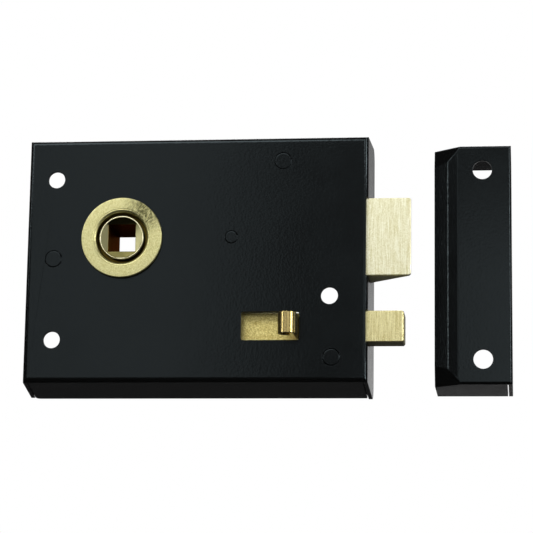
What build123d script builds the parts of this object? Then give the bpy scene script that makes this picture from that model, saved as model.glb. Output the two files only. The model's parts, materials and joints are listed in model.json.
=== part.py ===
from build123d import *
import os
from math import asin, atan2, cos, degrees, hypot, pi, radians, sin, sqrt, tan

# A rim latch with a privacy snib and its box keep. Everything is in millimetres.
# X runs towards the fore-end, Z is up, and the front of the case looks towards -Y.
# The origin is the axis of the spindle, on the plane of the door.

os.makedirs("parts", exist_ok=True)

# Case: one piece of pressed steel with flared side walls
rear_width = 28.6         # left edge of the face to the spindle axis
case_height = 72.9
case_depth = 22.0
backset = 73.0            # spindle axis to the outer face of the fore-end
spindle_height = 42.9     # spindle axis above the lower bend
sheet = 1.2
bend_radius = 1.5
wall_flare = 5.3          # degrees that the left, top and bottom walls lean outwards
lip_depth = 5.0           # how far the fore-end is let into the edge of the door
lip_corner = 4.0
seam_gap = 0.25           # open joint where two folded walls meet
corner_round = 1.5
overrun = 1.0             # how far a cutting shape reaches past what it cuts

# Fixing holes of the case, from the edges of its face
fixing_radius = 2.5
fixing_left_inset = 8.3
fixing_top_inset = 12.0
fixing_bottom_inset = 12.5
fixing_right_inset = 11.2
fixing_right_rise = 25.2  # above the lower bend

# Pillars that are riveted into the case and carry the back plate
pillar_radius = 3.5
pillar_left_inset = 8.1
pillar_left_rise = 36.8
pillar_top_inset = 25.2   # from the fore-end
pillar_top_drop = 7.1
pillar_lower_inset = 10.5
pillar_lower_rise = 7.0
rivet_radius = 2.55
rivet_fit = 0.03          # radial play of a riveted or screwed shank
screw_radius = 2.0
screw_play = 0.1
screw_depth = 8.0
screw_head_radius = 3.4
screw_head_height = 2.0
screw_slot_width = 0.9
screw_slot_depth = 1.0
screw_slot_turn = 32        # degrees; where the heads came to rest
screw_head_chamfer = 0.3

# Back plate, set forward of the door so that its screw heads stay clear
plate_setback = 4.0
plate_sheet = 1.2
plate_lobe = 6.5
hub_lobe = 11.5
plate_fillet = 3.0

# Spindle bush: a brass eyelet swaged into the face
bush_flange_radius = 12.1
bush_flange_height = 1.2
bush_bore_radius = 7.6
bush_sleeve_radius = 8.8
bush_sleeve_depth = 4.4   # from the face to the inner end of the sleeve
bush_roll = 1.1
bush_chamfer = 0.5
bush_swage = 1.0

# Follower: the brass hub that the spindle turns
spindle_square = 8.1
nose_radius = 6.55
nose_stand = 0.9          # nose proud of the face of the case
nose_length = 3.5
nose_chamfer = 0.45
running_clearance = 0.05
hub_radius = 8.5
hub_play = 0.2
rear_journal_radius = 6.95
arm_width = 5.0
arm_length = 21.0
arm_thickness = 4.0
arm_round = 1.0

# Latch bolt: a brass head, a steel rod and a forked yoke
bolt_play = 0.2
latch_height = 23.2
latch_thickness = 12.0
latch_projection = 12.5
latch_throw = 12.3
latch_inside = 15.0       # length of head behind the fore-end at rest
latch_nose = 0.8          # thickness left at the tip of the bevel
bolt_corner = 0.7
rod_radius = 2.0
rod_grip = 8.0            # length of rod inside the head
rod_pin_radius = 1.25
rod_spigot_radius = 1.5
rod_rivet_radius = 2.4
rod_rivet_height = 0.8
rod_rivet_chamfer = 0.4
yoke_sheet = 2.0
yoke_inner = 9.3          # half the gap between the prongs
yoke_outer = 13.2
yoke_round = 1.5
yoke_web = 5.6            # width of the cross piece along X
ear_half_height = 5.5
ear_half_depth = 4.0
lug_gap = 0.4             # lug to follower arm at rest
layer_gap = 0.6           # between the follower's arms and the prongs
rod_clearance = 0.06
post_x = 32.7
post_radius = 4.2
post_rivet_radius = 1.95
ear_to_post = 1.7

# Latch spring: one coiled wire between the post and the head
spring_wire = 0.8
spring_radius = 3.2       # to the middle of the wire
spring_turns = 8
spring_sides = 6          # the wire is drawn with flats
spring_end_pitch = 1.3
spring_seat_gap = 0.15

# Snib: the bolt that is thrown by hand, with its slide and thumb piece
snib_rise = 16.3          # middle of the bolt above the lower bend
snib_height = 9.2
snib_thickness = 8.6
snib_projection = 10.5
snib_throw = 10.5
snib_inside = 15.0
slide_step = 2.2          # slide behind the front of the bolt
slide_sheet = 2.5
slide_height = 8.8
slide_left_inset = 56.0   # from the fore-end, as the other insets of the snib
slide_grip = 8.0          # length of slide inside the bolt
snib_rivet_radius = 1.0
snib_rivet_spacing = 4.0
slot_left_inset = 37.0
slot_right_inset = 20.0
slot_height = 8.3
slot_round = 0.5
stud_inset = 51.0
stud_radius = 2.0
stud_collar_radius = 3.4
stud_spigot_radius = 1.6
stud_reach = 0.8          # stud past the front of the slide
stud_play = 0.1
notch_inset = 28.0
notch_radius = 2.0
notch_depth = 0.7

# Thumb piece: a brass strip that stands through the slot and curls over
thumb_height = 6.3
thumb_sheet = 1.0
thumb_stand = 7.3         # top of the curl in front of the face
thumb_curl = 5.4          # outer diameter of the curl
thumb_end_gap = 0.3       # strip to the right end of the slot
thumb_sweep = 285         # degrees of the curl
thumb_tenon = 4.3

# Detent spring: a steel strip with an eye round the lower pillar
leaf_sheet = 0.5
leaf_width = 5.0
leaf_play = 0.1
leaf_crest = 1.1          # bend radius of the crest in the notch
leaf_foot_inset = 45.0
leaf_foot_radius = 1.5
leaf_foot_sweep = 100
leaf_eye_sweep = 260

# Keep: the box that the bolts enter, fixed to the door frame
keep_gap = 19.4           # fore-end to the free edge of the keep's lip
keep_top_drop = 4.3       # from the upper bend of the case
keep_height = 70.1
keep_depth = 25.7
keep_face = 14.0          # flat width of the face
keep_slope = 2.8          # width and drop of the flat slope beside the face
keep_slope_drop = 0.9
keep_lip = 6.8            # width and drop of the whole lip
keep_lip_drop = 3.5
keep_ridge = 0.9          # bend radius where the slope meets the face
keep_bead = 1.6
keep_slant = 4.5          # foot of the slope to each end of the keep
keep_corner = 5.7         # how far back the slanted corners reach at the free edge
keep_hole_radius = 2.8
keep_hole_spacing = 55.6
keep_hole_inset = 7.2     # from the left edge of the flat face

# Levels from front to back, and the walls that the flare moves
front_y = -case_depth
inner_y = front_y + sheet
plate_rear_y = -plate_setback
plate_front_y = plate_rear_y - plate_sheet
bolt_front_y = inner_y + bolt_play
latch_rear_y = bolt_front_y + latch_thickness
rod_y = bolt_front_y + latch_thickness / 2
yoke_rear_y = latch_rear_y - bolt_play
yoke_front_y = yoke_rear_y - yoke_sheet
arm_rear_y = yoke_front_y - layer_gap
arm_front_y = arm_rear_y - arm_thickness
snib_rear_y = bolt_front_y + snib_thickness
slide_front_y = bolt_front_y + slide_step
slide_rear_y = slide_front_y + slide_sheet
bush_end_y = front_y + bush_sleeve_depth
hub_front_y = bush_end_y + hub_play
hub_rear_y = plate_front_y - hub_play
left_x = -rear_width
bottom_z = -spindle_height
top_z = case_height - spindle_height
flare_slope = tan(radians(wall_flare))
wall_sheet = sheet / cos(radians(wall_flare))
fixing_left_x = left_x + fixing_left_inset
fixing_top_z = top_z - fixing_top_inset
fixing_bottom_z = bottom_z + fixing_bottom_inset
fixing_right_x = backset - fixing_right_inset
fixing_right_z = bottom_z + fixing_right_rise
pillar_left = (left_x + pillar_left_inset, bottom_z + pillar_left_rise)
pillar_top = (backset - pillar_top_inset, top_z - pillar_top_drop)
pillar_lower = (backset - pillar_lower_inset, bottom_z + pillar_lower_rise)
snib_z = bottom_z + snib_rise
slide_left_x = backset - slide_left_inset
slot_left_x = backset - slot_left_inset
slot_right_x = backset - slot_right_inset
stud_x = backset - stud_inset
notch_x = backset - notch_inset
leaf_foot_x = backset - leaf_foot_inset
keep_top_z = top_z - keep_top_drop
latch_left_x = backset - latch_inside
snib_left_x = backset - snib_inside
ear_right_x = post_x - post_radius - ear_to_post
ear_left_x = ear_right_x - yoke_sheet
lug_right_x = -arm_width / 2 - lug_gap
lug_left_x = lug_right_x - yoke_sheet


def front_plane(y):
    """Plane across the lock at a level y: sketch x is X, sketch y is Z, normal is -Y."""
    return Plane.XZ.offset(-y)


def flare_at(y):
    """How far the flared walls have moved outwards at a level y."""
    return (y - front_y) * flare_slope


def case_rectangle(y, inset=0, right_inset=0):
    """Outline of the case at a level y, drawn in the sketch that is open."""
    low = (left_x - flare_at(y) + inset, bottom_z - flare_at(y) + inset)
    high = (backset - right_inset, top_z + flare_at(y) - inset)
    with Locations(((low[0] + high[0]) / 2, (low[1] + high[1]) / 2)):
        Rectangle(high[0] - low[0], high[1] - low[1])


def plate_outline(*lobes):
    """Straight-sided outline round two or more round lobes, each (X, Z, radius)."""
    with BuildSketch() as outline:
        for x, z, radius in lobes:
            with Locations((x, z)):
                Circle(radius)
        make_hull()
    return outline.sketch


# Case shell
fixing_holes = [
    (fixing_left_x, fixing_top_z),
    (fixing_left_x, fixing_bottom_z),
    (fixing_right_x, fixing_right_z),
]
pillars = {"left": pillar_left, "top": pillar_top, "lower": pillar_lower}
slot_width = slot_right_x - slot_left_x
slot_x = (slot_left_x + slot_right_x) / 2
inner_left_x = left_x - flare_at(0) + wall_sheet

with BuildPart() as case_shell:
    for level in (front_y, 0):
        with BuildSketch(front_plane(level)):
            case_rectangle(level)
    loft()
    fillet(case_shell.faces().sort_by(Axis.Y)[0].edges(), bend_radius)
    for level in (inner_y, overrun):
        with BuildSketch(front_plane(level)):
            case_rectangle(level, wall_sheet, sheet)
    loft(mode=Mode.SUBTRACT)

    # The fore-end carries on past the door plane as a lip with round corners
    lip_start_y = front_y / 2
    with BuildSketch(Plane.YZ.offset(backset - sheet)) as lip:
        with BuildLine():
            Polyline(
                (lip_start_y, bottom_z - flare_at(lip_start_y)),
                (lip_depth, bottom_z - flare_at(lip_depth)),
                (lip_depth, top_z + flare_at(lip_depth)),
                (lip_start_y, top_z + flare_at(lip_start_y)),
                close=True,
            )
        make_face()
        fillet(lip.vertices().group_by(Axis.X)[-1], lip_corner)
    extrude(amount=sheet)

    # Open seams where the top and bottom walls meet the left wall and the fore-end
    seam_start_y = front_y + bend_radius
    with BuildSketch(Plane.XY.offset(bottom_z - flare_at(0) - overrun)):
        for wall_x, lean in ((left_x + wall_sheet, flare_slope), (backset - sheet - seam_gap, 0)):
            start_x = wall_x - (seam_start_y - front_y) * lean
            end_x = wall_x - (overrun - front_y) * lean
            with BuildLine():
                Polyline(
                    (start_x, seam_start_y),
                    (start_x + seam_gap, seam_start_y),
                    (end_x + seam_gap, overrun),
                    (end_x, overrun),
                    close=True,
                )
            make_face()
    extrude(amount=case_height + 2 * (flare_at(0) + overrun), mode=Mode.SUBTRACT)

    # The free corners of the folded walls are rounded
    thick = 2 * sheet
    short = case_shell.edges().filter_by(lambda edge: edge.length < thick and abs(edge.center().Y) < seam_gap)
    wall_ends = short.filter_by(Axis.Z).filter_by(lambda edge: edge.center().X < 0)
    side_ends = short.filter_by(Axis.X).filter_by(lambda edge: edge.center().X < 0)
    fillet(wall_ends + side_ends, corner_round)

    # Fixing holes, rivet holes, the bush's hole and the thumb slot
    with BuildSketch(front_plane(inner_y + overrun)):
        with Locations(*fixing_holes):
            Circle(fixing_radius)
        with Locations(*pillars.values()):
            Circle(rivet_radius)
        with Locations((post_x, 0)):
            Circle(post_rivet_radius)
        Circle(bush_sleeve_radius + rivet_fit)
        with Locations((slot_x, snib_z)):
            RectangleRounded(slot_width, slot_height, slot_round)
    extrude(amount=sheet + 2 * overrun, mode=Mode.SUBTRACT)

    # Bolt openings: through the fore-end and across its bend
    bolt_openings = [
        (0, latch_height, latch_rear_y),
        (snib_z, snib_height, snib_rear_y),
    ]
    with BuildSketch(Plane.YZ.offset(backset + overrun)):
        for middle_z, height, rear_y in bolt_openings:
            depth = rear_y + bolt_play - inner_y
            with Locations((inner_y + depth / 2, middle_z)):
                Rectangle(depth, height + 2 * bolt_play)
    extrude(amount=-(sheet + 2 * overrun), mode=Mode.SUBTRACT)
    with BuildSketch(Plane.YZ.offset(backset + overrun)):
        for middle_z, height, _ in bolt_openings:
            with Locations((front_y, middle_z)):
                Rectangle(2 * bend_radius, height + 2 * bolt_play)
    extrude(amount=-(sheet / 2 + overrun), mode=Mode.SUBTRACT)
case_shell.part.label = "case_shell"
export_step(case_shell.part, "parts/case_shell.step")

# Pillars: turned steel, one node for each, threaded for the back plate's screws
for side, (x, z) in pillars.items():
    with BuildPart() as pillar:
        with BuildSketch(front_plane(plate_front_y)):
            with Locations((x, z)):
                Circle(pillar_radius)
        extrude(amount=plate_front_y - inner_y)
        with BuildSketch(front_plane(inner_y)):
            with Locations((x, z)):
                Circle(rivet_radius - rivet_fit)
        extrude(amount=sheet)
        with BuildSketch(front_plane(plate_front_y)):
            with Locations((x, z)):
                Circle(screw_radius + rivet_fit)
        extrude(amount=screw_depth + overrun, mode=Mode.SUBTRACT)
    pillar.part.label = f"pillar_{side}"
    export_step(pillar.part, f"parts/pillar_{side}.step")

# Back plate: arms from the follower's bearing to the pillars, the post and the stud
hub = (0, 0, hub_lobe)
arms = [
    [(*pillar_left, plate_lobe)],
    [(*pillar_top, plate_lobe)],
    [(post_x, 0, plate_lobe)],
    [(stud_x, snib_z, plate_lobe), (*pillar_lower, plate_lobe)],
]
with BuildPart() as back_plate:
    with BuildSketch(front_plane(plate_rear_y)) as plate_face:
        for arm in arms:
            add(plate_outline(hub, *arm))
    extrude(amount=plate_sheet)
    inner_corners = back_plate.edges().filter_by(Axis.Y).filter_by(
        lambda edge: hypot(edge.center().X, edge.center().Z) > hub_lobe + overrun
        and edge.center().X > 0
        and edge.is_interior
    )
    fillet(inner_corners, plate_fillet)
    with BuildSketch(front_plane(plate_rear_y + overrun)):
        Circle(rear_journal_radius + running_clearance)
        with Locations(*pillars.values()):
            Circle(screw_radius + screw_play)
        with Locations((post_x, 0)):
            Circle(post_rivet_radius)
        with Locations((stud_x, snib_z)):
            Circle(stud_spigot_radius)
    extrude(amount=plate_sheet + 2 * overrun, mode=Mode.SUBTRACT)
back_plate.part.label = "back_plate"
export_step(back_plate.part, "parts/back_plate.step")

# Cheese-head screws that hold the back plate to the pillars
with BuildPart() as back_plate_screws:
    with BuildSketch(front_plane(plate_rear_y)):
        with Locations(*pillars.values()):
            Circle(screw_radius)
    extrude(amount=plate_sheet + screw_depth)
    with BuildSketch(front_plane(plate_rear_y)):
        with Locations(*pillars.values()):
            Circle(screw_head_radius)
    extrude(amount=-screw_head_height)
    chamfer(back_plate_screws.edges().group_by(Axis.Y)[-1], screw_head_chamfer)
    with BuildSketch(front_plane(plate_rear_y + screw_head_height)):
        with Locations(*pillars.values()):
            Rectangle(2 * (screw_head_radius + overrun), screw_slot_width, rotation=screw_slot_turn)
    extrude(amount=screw_slot_depth, mode=Mode.SUBTRACT)
back_plate_screws.part.label = "back_plate_screws"
export_step(back_plate_screws.part, "parts/back_plate_screws.step")

# Spindle bush: turned flange with a rolled mouth, swaged behind the face
flange_y = front_y - bush_flange_height
swage_y = inner_y + bush_swage
with BuildPart() as spindle_bush:
    with BuildSketch():
        with BuildLine():
            Line((bush_bore_radius, bush_end_y), (bush_bore_radius, flange_y + bush_roll))
            RadiusArc(
                (bush_bore_radius, flange_y + bush_roll),
                (bush_bore_radius + bush_roll, flange_y),
                -bush_roll,
            )
            Polyline(
                (bush_bore_radius + bush_roll, flange_y),
                (bush_flange_radius - bush_chamfer, flange_y),
                (bush_flange_radius, flange_y + bush_chamfer),
                (bush_flange_radius, front_y),
                (bush_sleeve_radius, front_y),
                (bush_sleeve_radius, inner_y),
                (bush_sleeve_radius + bush_swage, inner_y),
                (bush_sleeve_radius, swage_y),
                (bush_sleeve_radius, bush_end_y),
                (bush_bore_radius, bush_end_y),
            )
        make_face()
    revolve(axis=Axis.Y)
spindle_bush.part.label = "spindle_bush"
export_step(spindle_bush.part, "parts/spindle_bush.step")

# Follower: stepped hub, square hole and two arms that push the yoke's lugs
nose_y = front_y - nose_stand
journal_y = nose_y + nose_length
journal_radius = bush_bore_radius - running_clearance
with BuildPart() as follower:
    with BuildSketch():
        with BuildLine():
            Polyline(
                (0, nose_y),
                (nose_radius - nose_chamfer, nose_y),
                (nose_radius, nose_y + nose_chamfer),
                (nose_radius, journal_y),
                (journal_radius, journal_y),
                (journal_radius, hub_front_y),
                (hub_radius, hub_front_y),
                (hub_radius, hub_rear_y),
                (rear_journal_radius, hub_rear_y),
                (rear_journal_radius, plate_rear_y),
                (0, plate_rear_y),
                close=True,
            )
        make_face()
    revolve(axis=Axis.Y)
    with BuildSketch(front_plane(arm_rear_y)):
        RectangleRounded(arm_width, 2 * arm_length, arm_round)
    extrude(amount=arm_thickness)
    with BuildSketch(front_plane(plate_rear_y + overrun)):
        Rectangle(spindle_square, spindle_square)
    extrude(amount=plate_rear_y - nose_y + 2 * overrun, mode=Mode.SUBTRACT)
follower.part.label = "follower"
export_step(follower.part, "parts/follower.step")

# Guide post: riveted into the face, carries the rod and takes the spring's push
with BuildPart() as guide_post:
    with BuildSketch(front_plane(plate_front_y)):
        with Locations((post_x, 0)):
            Circle(post_radius)
    extrude(amount=plate_front_y - inner_y)
    with BuildSketch(front_plane(plate_rear_y)):
        with Locations((post_x, 0)):
            Circle(post_rivet_radius - rivet_fit)
    extrude(amount=plate_rear_y - front_y)
    with BuildSketch(Plane.YZ.offset(post_x - post_radius - overrun)):
        with Locations((rod_y, 0)):
            Circle(rod_radius + rod_clearance)
    extrude(amount=2 * (post_radius + overrun), mode=Mode.SUBTRACT)
guide_post.part.label = "guide_post"
export_step(guide_post.part, "parts/guide_post.step")

# Latch head: brass block with a bevel on the side that meets the door frame
latch_tip_x = backset + latch_projection
with BuildPart() as latch_head:
    with BuildSketch(Plane.XY.offset(-latch_height / 2)):
        with BuildLine():
            Polyline(
                (latch_left_x, bolt_front_y),
                (latch_tip_x, bolt_front_y),
                (latch_tip_x, bolt_front_y + latch_nose),
                (backset, latch_rear_y),
                (latch_left_x, latch_rear_y),
                close=True,
            )
        make_face()
    extrude(amount=latch_height)
    tip_corners = latch_head.edges().filter_by(Axis.Y).group_by(Axis.X)[-1]
    fillet(tip_corners, bolt_corner)
    with BuildSketch(Plane.YZ.offset(latch_left_x)):
        with Locations((rod_y, 0)):
            Circle(rod_radius + rivet_fit)
    extrude(amount=rod_grip + rivet_fit, mode=Mode.SUBTRACT)
    with BuildSketch(front_plane(latch_rear_y + overrun)):
        with Locations((latch_left_x + rod_grip / 2, 0)):
            Circle(rod_pin_radius + rivet_fit)
    extrude(amount=latch_thickness + 2 * overrun, mode=Mode.SUBTRACT)
latch_head.part.label = "latch_head"
export_step(latch_head.part, "parts/latch_head.step")

# Latch rod: its left end is riveted over the yoke's ear
rod_right_x = latch_left_x + rod_grip
with BuildPart() as latch_rod:
    with BuildSketch(Plane.YZ.offset(ear_right_x)):
        with Locations((rod_y, 0)):
            Circle(rod_radius)
    extrude(amount=rod_right_x - ear_right_x)
    with BuildSketch(Plane.YZ.offset(ear_left_x)):
        with Locations((rod_y, 0)):
            Circle(rod_spigot_radius)
    extrude(amount=yoke_sheet)
    with BuildSketch(Plane.YZ.offset(ear_left_x)):
        with Locations((rod_y, 0)):
            Circle(rod_rivet_radius)
    extrude(amount=-rod_rivet_height)
    chamfer(latch_rod.edges().group_by(Axis.X)[0], rod_rivet_chamfer)
    with BuildSketch(front_plane(latch_rear_y)):
        with Locations((latch_left_x + rod_grip / 2, 0)):
            Circle(rod_pin_radius + rivet_fit)
    extrude(amount=latch_thickness, mode=Mode.SUBTRACT)
latch_rod.part.label = "latch_rod"
export_step(latch_rod.part, "parts/latch_rod.step")

# Cross pin that locks the rod in the head
with BuildPart() as latch_pin:
    with BuildSketch(front_plane(latch_rear_y)):
        with Locations((latch_left_x + rod_grip / 2, 0)):
            Circle(rod_pin_radius)
    extrude(amount=latch_thickness)
latch_pin.part.label = "latch_pin"
export_step(latch_pin.part, "parts/latch_pin.step")

# Yoke: a flat fork behind the arms, with an ear and two lugs bent forwards
with BuildPart() as latch_yoke:
    with BuildSketch(front_plane(yoke_rear_y)) as fork:
        with Locations(((lug_left_x + ear_right_x) / 2, 0)):
            Rectangle(ear_right_x - lug_left_x, 2 * yoke_outer)
        with Locations(((lug_left_x + ear_right_x - yoke_web - overrun) / 2, 0)):
            Rectangle(ear_right_x - yoke_web - lug_left_x + overrun, 2 * yoke_inner, mode=Mode.SUBTRACT)
        fillet(fork.vertices().group_by(Axis.X)[-1], yoke_round)
        web_corners = fork.vertices().filter_by(
            lambda corner: abs(abs(corner.Y) - yoke_inner) < rivet_fit and corner.X > 0
        )
        fillet(web_corners, yoke_round)
    extrude(amount=yoke_sheet)
    with BuildSketch(Plane.YZ.offset(ear_left_x)) as ear:
        ear_depth = yoke_rear_y - rod_y + ear_half_depth
        with Locations((yoke_rear_y - ear_depth / 2, 0)):
            Rectangle(ear_depth, 2 * ear_half_height)
        fillet(ear.vertices().group_by(Axis.X)[0], yoke_round)
        with Locations((rod_y, 0)):
            Circle(rod_spigot_radius + rivet_fit, mode=Mode.SUBTRACT)
    extrude(amount=yoke_sheet)
    lug_depth = yoke_rear_y - arm_front_y
    lug_height = yoke_outer - yoke_inner
    with BuildSketch(Plane.YZ.offset(lug_left_x)):
        for middle_z in (-yoke_inner - lug_height / 2, yoke_inner + lug_height / 2):
            with Locations((yoke_rear_y - lug_depth / 2, middle_z)):
                Rectangle(lug_depth, lug_height)
    extrude(amount=yoke_sheet)
latch_yoke.part.label = "latch_yoke"
export_step(latch_yoke.part, "parts/latch_yoke.step")


def tangent_join(start, start_direction, end, end_direction):
    """Middle point and direction of the two arcs that join two points smoothly."""
    chord = end - start
    bend = 2 * (1 - start_direction.dot(end_direction))
    push = 2 * chord.dot(start_direction + end_direction)
    reach = (sqrt(push * push + 4 * bend * chord.dot(chord)) - push) / (2 * bend)
    middle = (start + end + (start_direction - end_direction) * reach) / 2
    direction = ((end - end_direction * reach) - (start + start_direction * reach)).normalized()
    return middle, direction


# Latch spring: a helix on the rod, closed up at both ends
spring_start_x = post_x + post_radius + spring_wire / 2 + spring_seat_gap
spring_end_x = latch_left_x - spring_wire / 2 - spring_seat_gap
open_turns = spring_turns - 2
open_pitch = (spring_end_x - spring_start_x - 2 * spring_end_pitch) / open_turns
steps_per_turn = 4


def spring_advance(turn):
    """Distance along X that the wire has moved after this many turns."""
    first = min(turn, 1) * spring_end_pitch
    middle = min(max(turn - 1, 0), open_turns) * open_pitch
    last = max(turn - 1 - open_turns, 0) * spring_end_pitch
    return first + middle + last


def spring_point(step):
    """Point of the wire's middle line and its direction there."""
    turn = step / steps_per_turn
    angle = 2 * pi * turn
    point = Vector(
        spring_start_x + spring_advance(turn),
        rod_y + spring_radius * cos(angle),
        spring_radius * sin(angle),
    )
    before = spring_advance(max(turn - 1 / steps_per_turn, 0))
    after = spring_advance(min(turn + 1 / steps_per_turn, spring_turns))
    slope = (after - before) * steps_per_turn / 2
    direction = Vector(slope / (2 * pi), -spring_radius * sin(angle), spring_radius * cos(angle))
    return point, direction.normalized()


wire_steps = [spring_point(step) for step in range(spring_turns * steps_per_turn + 1)]
with BuildPart() as latch_spring:
    with BuildLine() as wire:
        for (start, start_direction), (end, end_direction) in zip(wire_steps, wire_steps[1:]):
            middle, direction = tangent_join(start, start_direction, end, end_direction)
            TangentArc(start, middle, tangent=start_direction)
            TangentArc(middle, end, tangent=direction)
    with BuildSketch(Plane(origin=wire_steps[0][0], z_dir=wire_steps[0][1])):
        RegularPolygon(spring_wire / 2, spring_sides)
    sweep(path=wire.line)
latch_spring.part.label = "latch_spring"
export_step(latch_spring.part, "parts/latch_spring.step")
print("least gap between the spring's turns", round(min(spring_end_pitch, open_pitch) - spring_wire, 3))

# Snib bolt: brass block with a mortise for the slide
snib_tip_x = backset + snib_projection
rivet_xs = [snib_left_x + slide_grip / 2 + side * snib_rivet_spacing / 2 for side in (-1, 1)]
with BuildPart() as snib_bolt:
    with BuildSketch(front_plane(snib_rear_y)):
        with Locations(((snib_left_x + snib_tip_x) / 2, snib_z)):
            Rectangle(snib_tip_x - snib_left_x, snib_height)
    extrude(amount=snib_thickness)
    fillet(snib_bolt.edges().filter_by(Axis.Y).group_by(Axis.X)[-1], bolt_corner)
    fillet(snib_bolt.edges().filter_by(Axis.Z).group_by(Axis.X)[-1], bolt_corner)
    with BuildSketch(Plane.YZ.offset(snib_left_x - overrun)):
        with Locations(((slide_front_y + slide_rear_y) / 2, snib_z)):
            Rectangle(slide_sheet + 2 * rivet_fit, snib_height + 2 * overrun)
    extrude(amount=slide_grip + overrun, mode=Mode.SUBTRACT)
    with BuildSketch(front_plane(snib_rear_y)):
        with Locations(*[(x, snib_z) for x in rivet_xs]):
            Circle(snib_rivet_radius + rivet_fit)
    extrude(amount=snib_thickness, mode=Mode.SUBTRACT)
snib_bolt.part.label = "snib_bolt"
export_step(snib_bolt.part, "parts/snib_bolt.step")

# Snib slide: brass strip with a guide slot, a tenon hole and two detent notches
slide_right_x = snib_left_x + slide_grip - rivet_fit
slide_bottom_z = snib_z - slide_height / 2
guide_slot = snib_throw + 2 * (stud_radius + stud_play)
guide_x = stud_x + snib_throw / 2
strip_x = slot_right_x - thumb_end_gap - thumb_sheet / 2
with BuildPart() as snib_slide:
    with BuildSketch(front_plane(slide_rear_y)):
        with Locations(((slide_left_x + slide_right_x) / 2, snib_z)):
            Rectangle(slide_right_x - slide_left_x, slide_height)
        with Locations((guide_x, snib_z)):
            SlotOverall(guide_slot, 2 * (stud_radius + stud_play), mode=Mode.SUBTRACT)
        with Locations((strip_x, snib_z)):
            Rectangle(thumb_sheet + 2 * rivet_fit, thumb_tenon + 2 * rivet_fit, mode=Mode.SUBTRACT)
        with Locations(*[(x, snib_z) for x in rivet_xs]):
            Circle(snib_rivet_radius + rivet_fit, mode=Mode.SUBTRACT)
        notch_middle_z = slide_bottom_z + notch_depth - notch_radius
        with Locations(*[(x, notch_middle_z) for x in (notch_x, notch_x + snib_throw)]):
            Circle(notch_radius, mode=Mode.SUBTRACT)
    extrude(amount=slide_sheet)
    fillet(snib_slide.edges().filter_by(Axis.Y).group_by(Axis.X)[0], bolt_corner)
snib_slide.part.label = "snib_slide"
export_step(snib_slide.part, "parts/snib_slide.step")

# Rivets through the bolt and the slide
with BuildPart() as snib_rivets:
    with BuildSketch(front_plane(snib_rear_y)):
        with Locations(*[(x, snib_z) for x in rivet_xs]):
            Circle(snib_rivet_radius)
    extrude(amount=snib_thickness)
snib_rivets.part.label = "snib_rivets"
export_step(snib_rivets.part, "parts/snib_rivets.step")

# Thumb piece: the strip rises through the slot, then curls back on itself
curl_radius = (thumb_curl - thumb_sheet) / 2
curl_y = front_y - thumb_stand + thumb_curl / 2
with BuildPart() as thumb_piece:
    with BuildSketch(Plane.XY.offset(snib_z - thumb_height / 2)):
        with BuildLine():
            Line((strip_x, slide_front_y), (strip_x, curl_y))
            CenterArc((strip_x - curl_radius, curl_y), curl_radius, 0, -thumb_sweep)
        trace(line_width=thumb_sheet)
    extrude(amount=thumb_height)
    with BuildSketch(front_plane(slide_rear_y)):
        with Locations((strip_x, snib_z)):
            Rectangle(thumb_sheet, thumb_tenon)
    extrude(amount=slide_sheet)
thumb_piece.part.label = "thumb_piece"
export_step(thumb_piece.part, "parts/thumb_piece.step")

# Stud in the back plate that guides the slide and holds it forward
with BuildPart() as snib_stud:
    with BuildSketch(front_plane(plate_front_y)):
        with Locations((stud_x, snib_z)):
            Circle(stud_collar_radius)
    extrude(amount=plate_front_y - slide_rear_y - bolt_play)
    with BuildSketch(front_plane(plate_front_y)):
        with Locations((stud_x, snib_z)):
            Circle(stud_radius)
    extrude(amount=plate_front_y - slide_front_y + stud_reach)
    with BuildSketch(front_plane(plate_rear_y)):
        with Locations((stud_x, snib_z)):
            Circle(stud_spigot_radius - rivet_fit)
    extrude(amount=plate_sheet)
snib_stud.part.label = "snib_stud"
export_step(snib_stud.part, "parts/snib_stud.step")

# Detent spring: eye, long arm up to the crest in the notch, short arm down to the foot
leaf_middle_y = (slide_front_y + slide_rear_y) / 2
leaf_front_y = leaf_middle_y - leaf_width / 2
crest_z = slide_bottom_z + notch_depth - leaf_play - leaf_sheet / 2
eye_radius = pillar_radius + leaf_play + leaf_sheet / 2
foot_floor_z = bottom_z - flare_at(leaf_front_y) + wall_sheet
foot_z = foot_floor_z + leaf_play + leaf_sheet / 2 + leaf_foot_radius
crest_centre = (notch_x, crest_z - leaf_crest)
foot_centre = (leaf_foot_x, foot_z)


def crossing_lean(low, high, radii):
    """Lean of the line that passes under one circle and over the next one."""
    run = (high[0] - low[0], high[1] - low[1])
    return atan2(run[1], run[0]), asin(radii / hypot(*run))


def beside(centre, lean, distance):
    """Point at a distance from a circle's centre, square to a line of this lean."""
    return (centre[0] - distance * sin(lean), centre[1] + distance * cos(lean))


# Both arms pass over the crest; they pass under the eye and under the foot's curl
middle_lean, cross_lean = crossing_lean(crest_centre, pillar_lower, leaf_crest + eye_radius)
arm_lean = middle_lean - cross_lean
middle_lean, cross_lean = crossing_lean(foot_centre, crest_centre, leaf_crest + leaf_foot_radius)
foot_lean = middle_lean + cross_lean
with BuildPart() as detent_spring:
    with BuildSketch(front_plane(leaf_middle_y + leaf_width / 2)):
        with BuildLine():
            CenterArc(pillar_lower, eye_radius, degrees(arm_lean) - 90, leaf_eye_sweep)
            Line(beside(pillar_lower, arm_lean, -eye_radius), beside(crest_centre, arm_lean, leaf_crest))
            CenterArc(crest_centre, leaf_crest, degrees(arm_lean) + 90, degrees(foot_lean - arm_lean))
            Line(
                beside(crest_centre, foot_lean, leaf_crest),
                beside(foot_centre, foot_lean, -leaf_foot_radius),
            )
            CenterArc(foot_centre, leaf_foot_radius, degrees(foot_lean) - 90, -leaf_foot_sweep)
        trace(line_width=leaf_sheet)
    extrude(amount=leaf_width)
detent_spring.part.label = "detent_spring"
export_step(detent_spring.part, "parts/detent_spring.step")

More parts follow.
